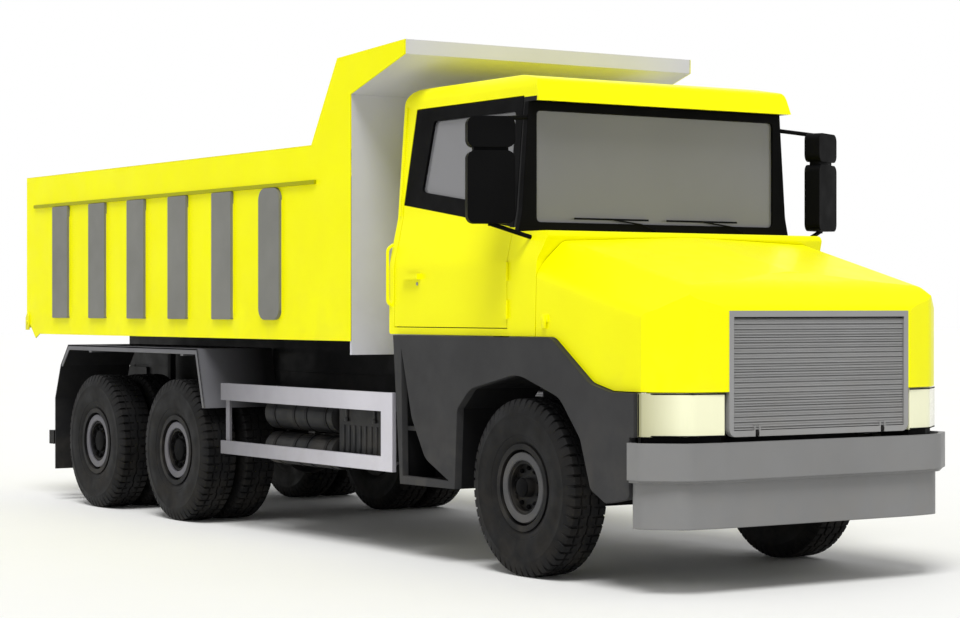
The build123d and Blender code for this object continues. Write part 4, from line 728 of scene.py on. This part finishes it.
def mirror_parts():
    """Faces in the mirrors' shells, and necks that join the upper and lower shells."""
    x, y = -50, 1163 + 57 + 150
    turn = math.radians(25)
    rim = 22

    def plate(half, behind, ahead):
        """Corners, from above, of a plate that is turned with the mirrors."""
        corners = []
        for across, deep in ((-half, behind), (half, behind), (half, ahead), (-half, ahead)):
            corners.append((x + deep * math.cos(turn) - across * math.sin(turn),
                            y + deep * math.sin(turn) + across * math.cos(turn)))
        return corners

    faces = Piece("mirror_faces", "chassis", "mirror_glass", mirrored=True)
    for shell_low, shell_top in ((2215, 2670), (2690, 2885)):
        faces.prism(plate(128, -57, -55.5), "z", shell_low + rim, shell_top - rim)
    faces.finish("glass")
    necks = Piece("mirror_necks", "chassis", "mirror_shell", mirrored=True)
    necks.prism(plate(112, -38, 38), "z", 2650, 2712, 12)
    necks.finish("black_trim")


def handles():
    grab = Piece("grab_handles", "chassis", "yellow", mirrored=True)
    grab.tube([(-1570, 1158, 1700), (-1575, 1192, 1725), (-1575, 1192, 2090), (-1570, 1150, 2120)], 11, 12)
    grab.finish("yellow_paint")
    for side, s in sides:
        lock = Piece(f"door_lock_{side}", f"door_{side}", "steel")
        lock.turned((-1240, s * 1163, 1850), (0, s, 0), [(-2, 0), (-2, 13), (2, 12), (3, 8), (2, 0)], 20)
        lock.block(-1384, -1196, s * 1172, s * 1176, 1888, 1912, 1.5)
        lock.finish("steel")


def steps_and_gutters():
    treads = Piece("step_treads", "chassis", "tank", mirrored=True)
    for z, first_y, pitch in ((535, 905, 27), (890, 968, 20)):
        for n in range(9):
            y = first_y + n * pitch
            treads.block(-1380, -740, y, y + 9, z, z + 4, 1.2)
    treads.finish("silver")
    ends = Piece("step_box_ends", "chassis", "fender", mirrored=True)
    ends.block(-1404, -1391, 900, 1146, 506, 1440, 4)
    ends.finish("dark_grey_plastic")
    rail = Piece("roof_gutters", "chassis", "yellow", mirrored=True)
    rail.prism([(1096, 2318), (1104, 2318), (1049, 3060), (1041, 3060)], "x", -1560, -1552)
    rail.finish("yellow_paint")


# Cab inside: instruments, vents, gear lever, pedals and seats
def instruments():
    hood = Piece("instrument_hood", "chassis", "interior")
    hood.prism([(-405, 2085), (-250, 2100), (-250, 2165), (-330, 2170), (-412, 2120)], "y", 330, 710, 14)
    hood.finish("interior")
    dials = Piece("instrument_dials", "chassis", "dial")
    for y, r in ((420, 42), (520, 52), (620, 42)):
        dials.turned((-404, y, 2108), (-1, 0, 0.25), [(0, 0), (0, r), (8, r), (8, r - 5), (3, r - 6), (3, 0)],
                     40)
    dials.finish("interior")
    vents = Piece("dash_vents", "chassis", "trim", mirrored=True)
    for y in (860, 120):
        for n in range(5):
            vents.block(-424, -418, y - 70, y + 70, 1975 + n * 13, 1981 + n * 13, 1)
    vents.finish("black_trim")


def lever_and_pedals():
    lever = Piece("gear_lever", "chassis", "trim")
    lever.turned((-640, 120, 1556), (0, 0, 1), [(0, 0), (0, 70), (10, 66), (60, 30), (90, 18), (92, 0)], 32)
    lever.tube([(-640, 120, 1630), (-655, 130, 1850), (-640, 150, 2010)], 9, 12)
    lever.turned((-640, 150, 1995), (0, 0, 1), [(0, 0), (0, 12), (12, 26), (34, 30), (52, 22), (60, 0)], 28)
    lever.finish("black_trim")
    pedals = Piece("pedals", "chassis", "trim")
    for y in (400, 520, 640):
        pedals.prism([(-130, 1640), (-118, 1636), (-70, 1740), (-82, 1746)], "y", y - 35, y + 35, 3)
        pedals.tube([(-90, y, 1735), (0, y, 1790), (60, y, 1800)], 8, 8)
    pedals.finish("black_trim")


def settle(made):
    """Turn an object's modifiers into its mesh."""
    graph = bpy.context.evaluated_depsgraph_get()
    mesh = bpy.data.meshes.new_from_object(made.evaluated_get(graph))
    mesh.materials.clear()
    for material in made.data.materials:
        mesh.materials.append(material)
    made.modifiers.clear()
    made.data = mesh


def cushion(name, outline, low, high, cap):
    """Padded block: remeshed, then blown up as cloth by at most cap, in metres, and smoothed."""
    piece = Piece(name, "chassis", "cloth")
    piece.prism(outline, "y", low, high, 22)
    made = piece.finish("cloth")
    remesh = made.modifiers.new("even", "REMESH")
    remesh.mode = "VOXEL"
    remesh.voxel_size = 0.012
    settle(made)
    before = [v.co.copy() for v in made.data.vertices]
    cloth = made.modifiers.new("stuffing", "CLOTH")
    cloth.settings.use_pressure = True
    cloth.settings.uniform_pressure_force = 4.0
    cloth.settings.effector_weights.gravity = 0.0
    cloth.settings.quality = 4
    for frame_number in range(1, 21):
        bpy.context.scene.frame_set(frame_number)
    settle(made)
    bpy.context.scene.frame_set(1)
    for v, start in zip(made.data.vertices, before):
        move = v.co - start
        if move.length > cap:
            v.co = start + move.normalized() * cap
    smooth = made.modifiers.new("smooth", "SUBSURF")
    smooth.levels = smooth.render_levels = 1
    settle(made)
    made.data.shade_smooth()
    return made


def seats():
    floor = 1835
    base = [(-1440, floor + 8), (-840, floor + 8), (-832, floor + 60), (-850, floor + 122),
            (-1300, floor + 112), (-1440, floor + 112)]
    back = [(-1436, 1990), (-1338, 1990), (-1330, 2200), (-1392, 2470), (-1490, 2470), (-1478, 2200)]
    head = [(-1500, 2484), (-1404, 2484), (-1412, 2622), (-1496, 2622)]
    for side, y in (("left", 520), ("right", -520)):
        pads = [cushion(f"seat_cushion_{side}", base, y - 238, y + 238, 0.010),
                cushion(f"seat_back_{side}", back, y - 228, y + 228, 0.010),
                cushion(f"seat_headrest_{side}", head, y - 130, y + 130, 0.008)]
        if side == "left":
            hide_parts("seats")
        piping = Piece(f"seat_piping_{side}", "chassis", "trim")
        for edge in (-150, 150):
            piping.tube([(-1320, y + edge, 1953), (-1100, y + edge, 1964), (-880, y + edge, 1962)], 4, 8)
        piping.finish("cloth")
        posts = Piece(f"headrest_posts_{side}", "chassis", "steel")
        for edge in (-50, 50):
            posts.rod((-1446, y + edge, 2440), (-1450, y + edge, 2520), 6, 12)
        posts.finish("steel")


# Bed: welds beside the ribs, top rails, tailgate gear
def bed_pieces():
    rib_half = 161
    welds = Piece("bed_welds", "bed", "bed_steel", mirrored=True)
    for n in range(6):
        x = -6985 + n * 763
        for edge in (-rib_half, rib_half):
            welds.tube([(x + edge, 1226, 1612), (x + edge, 1226, 2480)], 4, 6)
    welds.finish("yellow_paint")
    caps = Piece("top_rail_caps", "bed", "bed_steel", mirrored=True)
    caps.block(-7770, -2582, 1168, 1226, 2852, 2856, 1.5)
    caps.finish("yellow_paint")


def tailgate_gear():
    latch = Piece("tailgate_latches", "bed", "bed_steel", mirrored=True)
    latch.prism([(-7768, 1490), (-7700, 1490), (-7700, 1620), (-7730, 1650), (-7768, 1600)],
                "y", 1226, 1240, 4)
    latch.rod((-7730, 1222, 1560), (-7730, 1248, 1560), 18, 24, 2)
    latch.finish("yellow_paint")
    pins = Piece("tailgate_locks", "tailgate", "steel", mirrored=True)
    pins.block(-7768, -7752, 1090, 1190, 1545, 1590, 5)
    pins.rod((-7760, 1120, 1520), (-7760, 1120, 1620), 9, 14, 2)
    pins.finish("steel")
    discs = Piece("tailgate_reflectors", "tailgate", "red_lens", mirrored=True)
    discs.turned((-7766, 1130, 1720), (-1, 0, 0), [(-2, 0), (-2, 34), (2, 34), (3, 30), (3.5, 0)], 32)
    discs.finish("lamp")


# Rear: lamp lenses on the underrun bar, edging of the mudguards, flaps
def tail_lamps():
    hanger, bar, housing = 60, 100, 30
    lens_x = rail_rear_x - hanger - bar - housing
    for name, y0, y1, look in (("stop_lenses", 764, 880, "red_lens"), ("turn_lenses", 884, 996, "amber"),
                               ("reverse_lenses", 1000, 1116, "white_lens")):
        lens = Piece(name, "chassis", look, mirrored=True)
        lens.block(lens_x - 9, lens_x + 2, y0, y1, 496, 584, 5)
        for n in range(6):
            z = 504 + n * 13
            lens.block(lens_x - 11, lens_x - 8, y0 + 8, y1 - 8, z, z + 5, 1)
        lens.finish("lamp")


def mudguard_trim():
    lips = Piece("mudguard_edging", "chassis", "edging", mirrored=True)
    lips.prism([(-4200, 910), (-4330, 1370), (-6800, 1370), (-6960, 1190), (-6920, 1176), (-6778, 1326),
                (-4364, 1326), (-4247, 910)], "y", 1243, 1250, 1.5)
    lips.finish("mid_grey")
    flaps = Piece("mud_flaps", "chassis", "rubber", mirrored=True)
    flaps.block(-7092, -7081, 610, 1240, 288, 890, 3)
    for n in range(12):
        y = 640 + n * 50
        flaps.block(-7096, -7091, y, y + 12, 320, 800, 2)
    flaps.finish("tyre")


# Chassis: bolts, straps and lids of the tanks, air lines, brakes and springs
def frame_bolts():
    bolts = Piece("frame_bolts", "chassis", "chassis", mirrored=True)
    for n in range(60):
        for z in (790, 1010):
            bolts.nut((1180 - n * 138, frame_half, z), (0, 1, 0), 11, 8)
    bolts.finish("chassis_black")


def rounded_box(y0, y1, z0, z1, radius=64):
    """Outline of an upright box with rounded corners."""
    middles = ((y0 + radius, z0 + radius), (y1 - radius, z0 + radius),
               (y1 - radius, z1 - radius), (y0 + radius, z1 - radius))
    points = []
    for corner, (y, z) in enumerate(middles):
        for step in range(7):
            turn = math.radians(180 + 90 * corner + 15 * step)
            points.append((y + radius * math.cos(turn), z + radius * math.sin(turn)))
    return points


def fuel_tank_trim():
    straps = Piece("tank_straps", "chassis", "steel")
    outer = rounded_box(468, 1124, 556, 1034)
    inner = rounded_box(474, 1119.5, 560.5, 1029.5)
    for x in (-3670, -2470):
        for n in range(len(outer)):
            after = (n + 1) % len(outer)
            straps.prism([outer[n], outer[after], inner[after], inner[n]], "x", x - 28, x + 28)
    straps.finish("steel", smooth=50)
    cap = Piece("tank_cap", "chassis", "steel")
    cap.turned((-3660, 1000, 1060), (0, 0, 1),
               [(0, 0), (0, 66), (14, 66), (18, 60), (18, 20), (24, 16), (24, 0)], 40)
    cap.block(-3668, -3652, 950, 1050, 1076, 1090, 3)
    cap.finish("steel")


def band_rows(radius, thick, width=36):
    """Rows of a flat band round a cylinder."""
    return [(0, radius), (0, radius + thick), (width, radius + thick), (width, radius), (0, radius)]


def air_tank_bands():
    dome = [(0, 119), (8, 112), (22, 84), (30, 40), (32, 0)]
    bands = Piece("air_tank_bands", "chassis", "chassis")
    for z in (640, 900):
        for x in (-3380, -3080, -2900, -2620):
            bands.turned((x, -980, z), (1, 0, 0), band_rows(118, 6), 48)
        bands.turned((-2500, -980, z), (1, 0, 0), dome, 48)
        bands.turned((-3500, -980, z), (-1, 0, 0), dome, 48)
    bands.finish("silver")


def battery_lid():
    box = Piece("battery_lid", "chassis", "tank")
    box.block(-2358, -1742, -1126, -552, 1048, 1072, 8)
    for x in (-2240, -1860):
        box.block(x - 16, x + 16, -1130, -1119, 900, 1066, 4)
        box.block(x - 24, x + 24, -1134, -1122, 886, 912, 4)
    for n in range(7):
        x = -2300 + n * 75
        box.block(x, x + 30, -1124, -1119, 660, 860, 2)
    box.finish("chassis_black")


def brakes_and_springs():
    chambers = Piece("brake_chambers", "chassis", "spring", mirrored=True)
    for axle in ("middle", "rear"):
        x = axle_x[axle] - 175
        chambers.turned((x, 545, 640), (0, -1, 0), [(0, 0), (0, 60), (16, 78), (60, 80), (66, 88), (78, 88),
                                                    (84, 80), (120, 76), (140, 40), (142, 0)], 36)
        chambers.rod((x, 545, 640), (x, 590, 640), 12, 12)
    chambers.finish("cast_grey")
    bolts = Piece("spring_bolts", "chassis", "spring", mirrored=True)
    for x in (-45, 45):
        bolts.tube([(x, 364, 560), (x, 364, 640), (x, 456, 640), (x, 456, 560)], 9, 10)
    for axle in ("middle", "rear"):
        for x in (axle_x[axle] - 60, axle_x[axle] + 60):
            bolts.tube([(x, 428, 600), (x, 428, 700), (x, 532, 700), (x, 532, 600)], 11, 10)
    bolts.finish("cast_grey")


def bands_and_lines():
    clips = Piece("silencer_bands", "chassis", "steel")
    for x in (-1420, -1140, -860):
        clips.turned((x - 18, 590, 860), (1, 0, 0), band_rows(149, 5), 48)
    clips.finish("steel")
    lines = Piece("air_lines", "chassis", "trim", mirrored=True)
    for rear_x, z, radius in ((-7000, 985, 8), (-6900, 955, 6)):
        lines.tube([(x, 366, z) for x in (1150, -1150, -4300, rear_x)], radius, 8)
    lines.finish("black_trim")


# Under the bonnet
def radiator_parts():
    core = Piece("radiator_core", "chassis", "tank")
    for n in range(84):
        y = -420 + n * 10
        core.block(1229, 1232, y, y + 3, 1060, 1620)
    core.finish("silver")
    tanks = Piece("radiator_tanks", "chassis", "interior")
    tanks.block(1136, 1234, -436, 436, 1612, 1650, 10)
    tanks.block(1136, 1234, -436, 436, 1036, 1066, 8)
    tanks.finish("black_trim")


def cooling_fan():
    """Hub and nine thin, pitched blades."""
    blades, pitch, thick = 9, Vector((10, 0, 0)), Vector((2, 0, 0))
    fan = Piece("cooling_fan", "chassis", "trim")
    fan.turned((1084, 0, 1300), (1, 0, 0), [(0, 0), (0, 60), (30, 60), (34, 54), (34, 0)], 32)
    for n in range(blades):
        turn = 2 * math.pi * n / blades
        ahead = Vector((0, math.sin(turn), math.cos(turn)))
        side = Vector((0, math.cos(turn), -math.sin(turn)))
        root, tip = [Vector((1100, 0, 1300)) + ahead * reach for reach in (50, 270)]
        quad = [root - side * 26 - pitch, root + side * 26 + pitch,
                tip + side * 62 + pitch, tip - side * 62 - pitch]
        front = [fan.bm.verts.new(c + thick) for c in quad]
        back = [fan.bm.verts.new(c - thick) for c in quad]
        fan.bm.faces.new(front)
        fan.bm.faces.new(back[::-1])
        for k in range(4):
            fan.bm.faces.new((front[k], back[k], back[(k + 1) % 4], front[(k + 1) % 4]))
    fan.finish("black_trim")


def engine_trim():
    head = Piece("engine_covers", "chassis", "engine_dark")
    for n in range(3):
        x = 260 + n * 215
        head.block(x, x + 190, -120, 120, 1478, 1530, 16)
        for y in (-85, 85):
            head.nut((x + 95, y, 1528), (0, 0, 1), 10, 8)
    head.finish("cast_grey")
    hose = Piece("coolant_hoses", "chassis", "trim")
    hose.tube([(1040, 180, 1430), (1080, 200, 1560), (1150, 220, 1580)], 30, 16)
    hose.tube([(1060, -200, 760), (1110, -230, 1080), (1150, -240, 1090)], 32, 16)
    hose.finish("black_trim")


# Floor, light and camera, in metres
def studio():
    reach = 120.0
    floor_mesh = bpy.data.meshes.new("floor")
    floor_mesh.from_pydata([(-reach, -reach, 0), (reach, -reach, 0), (reach, reach, 0), (-reach, reach, 0)],
                           [], [(0, 1, 2, 3)])
    floor = bpy.data.objects.new("floor", floor_mesh)
    bpy.context.scene.collection.objects.link(floor)
    pale = Finish("pale_floor", rough=0.75).paint("F2F2F0", 0.004, 0.4)
    floor_mesh.materials.append(pale.done(grain=20.0, strength=0.02))


def world_light():
    """Even light on the object, and white where the camera or a clear reflection sees the sky."""
    world = bpy.data.worlds.new("studio")
    world.use_nodes = True
    tree = world.node_tree
    light = tree.nodes["Background"]
    seen = tree.nodes.new("ShaderNodeBackground")
    for background, strength in ((light, 0.48), (seen, 1.0)):
        background.inputs["Color"].default_value = (1.0, 1.0, 1.0, 1.0)
        background.inputs["Strength"].default_value = strength
    rays = tree.nodes.new("ShaderNodeLightPath")
    total = rays.outputs["Is Camera Ray"]
    for name in ("Is Glossy Ray", "Is Transmission Ray"):
        add = tree.nodes.new("ShaderNodeMath")
        tree.links.new(total, add.inputs[0])
        tree.links.new(rays.outputs[name], add.inputs[1])
        total = add.outputs[0]
    choice = tree.nodes.new("ShaderNodeMixShader")
    tree.links.new(total, choice.inputs[0])
    tree.links.new(light.outputs[0], choice.inputs[1])
    tree.links.new(seen.outputs[0], choice.inputs[2])
    tree.links.new(choice.outputs[0], tree.nodes["World Output"].inputs[0])
    bpy.context.scene.world = world


def soft_sun():
    data = bpy.data.lights.new("soft_sun", "SUN")
    data.energy = 2.3
    data.angle = math.radians(25)
    sun = bpy.data.objects.new("soft_sun", data)
    towards = Vector((0.36, -0.32, 0.86))
    sun.rotation_euler = towards.to_track_quat("Z", "Y").to_euler()
    bpy.context.scene.collection.objects.link(sun)


def photo_camera():
    """The drawing's viewpoint, found by fitting a camera to its wheels and edges."""
    turn = math.radians(56.444)
    tilt = math.radians(-0.04)
    ahead = Vector((-math.sin(turn) * math.cos(tilt), math.cos(turn) * math.cos(tilt), math.sin(tilt)))
    data = bpy.data.cameras.new("photo_view")
    data.sensor_width = 36.0
    data.lens = 88.35
    data.clip_end = 400.0
    camera = bpy.data.objects.new("photo_view", data)
    camera.location = (15.31, -9.558, 1.692)
    camera.rotation_euler = ahead.to_track_quat("-Z", "Y").to_euler()
    bpy.context.scene.collection.objects.link(camera)
    bpy.context.scene.camera = camera


looks = finishes()
dress_nodes()
for build in (tyres, hubs, grille_trim, lamp_trim, arch_shields, latches_and_eyes, wipers, mirror_parts,
              handles, steps_and_gutters, instruments, lever_and_pedals, seats, bed_pieces, tailgate_gear,
              tail_lamps, mudguard_trim, frame_bolts, fuel_tank_trim, air_tank_bands, battery_lid,
              brakes_and_springs, bands_and_lines, radiator_parts, cooling_fan, engine_trim):
    build()
studio()
world_light()
soft_sun()
photo_camera()
bpy.context.scene.view_settings.view_transform = "Standard"
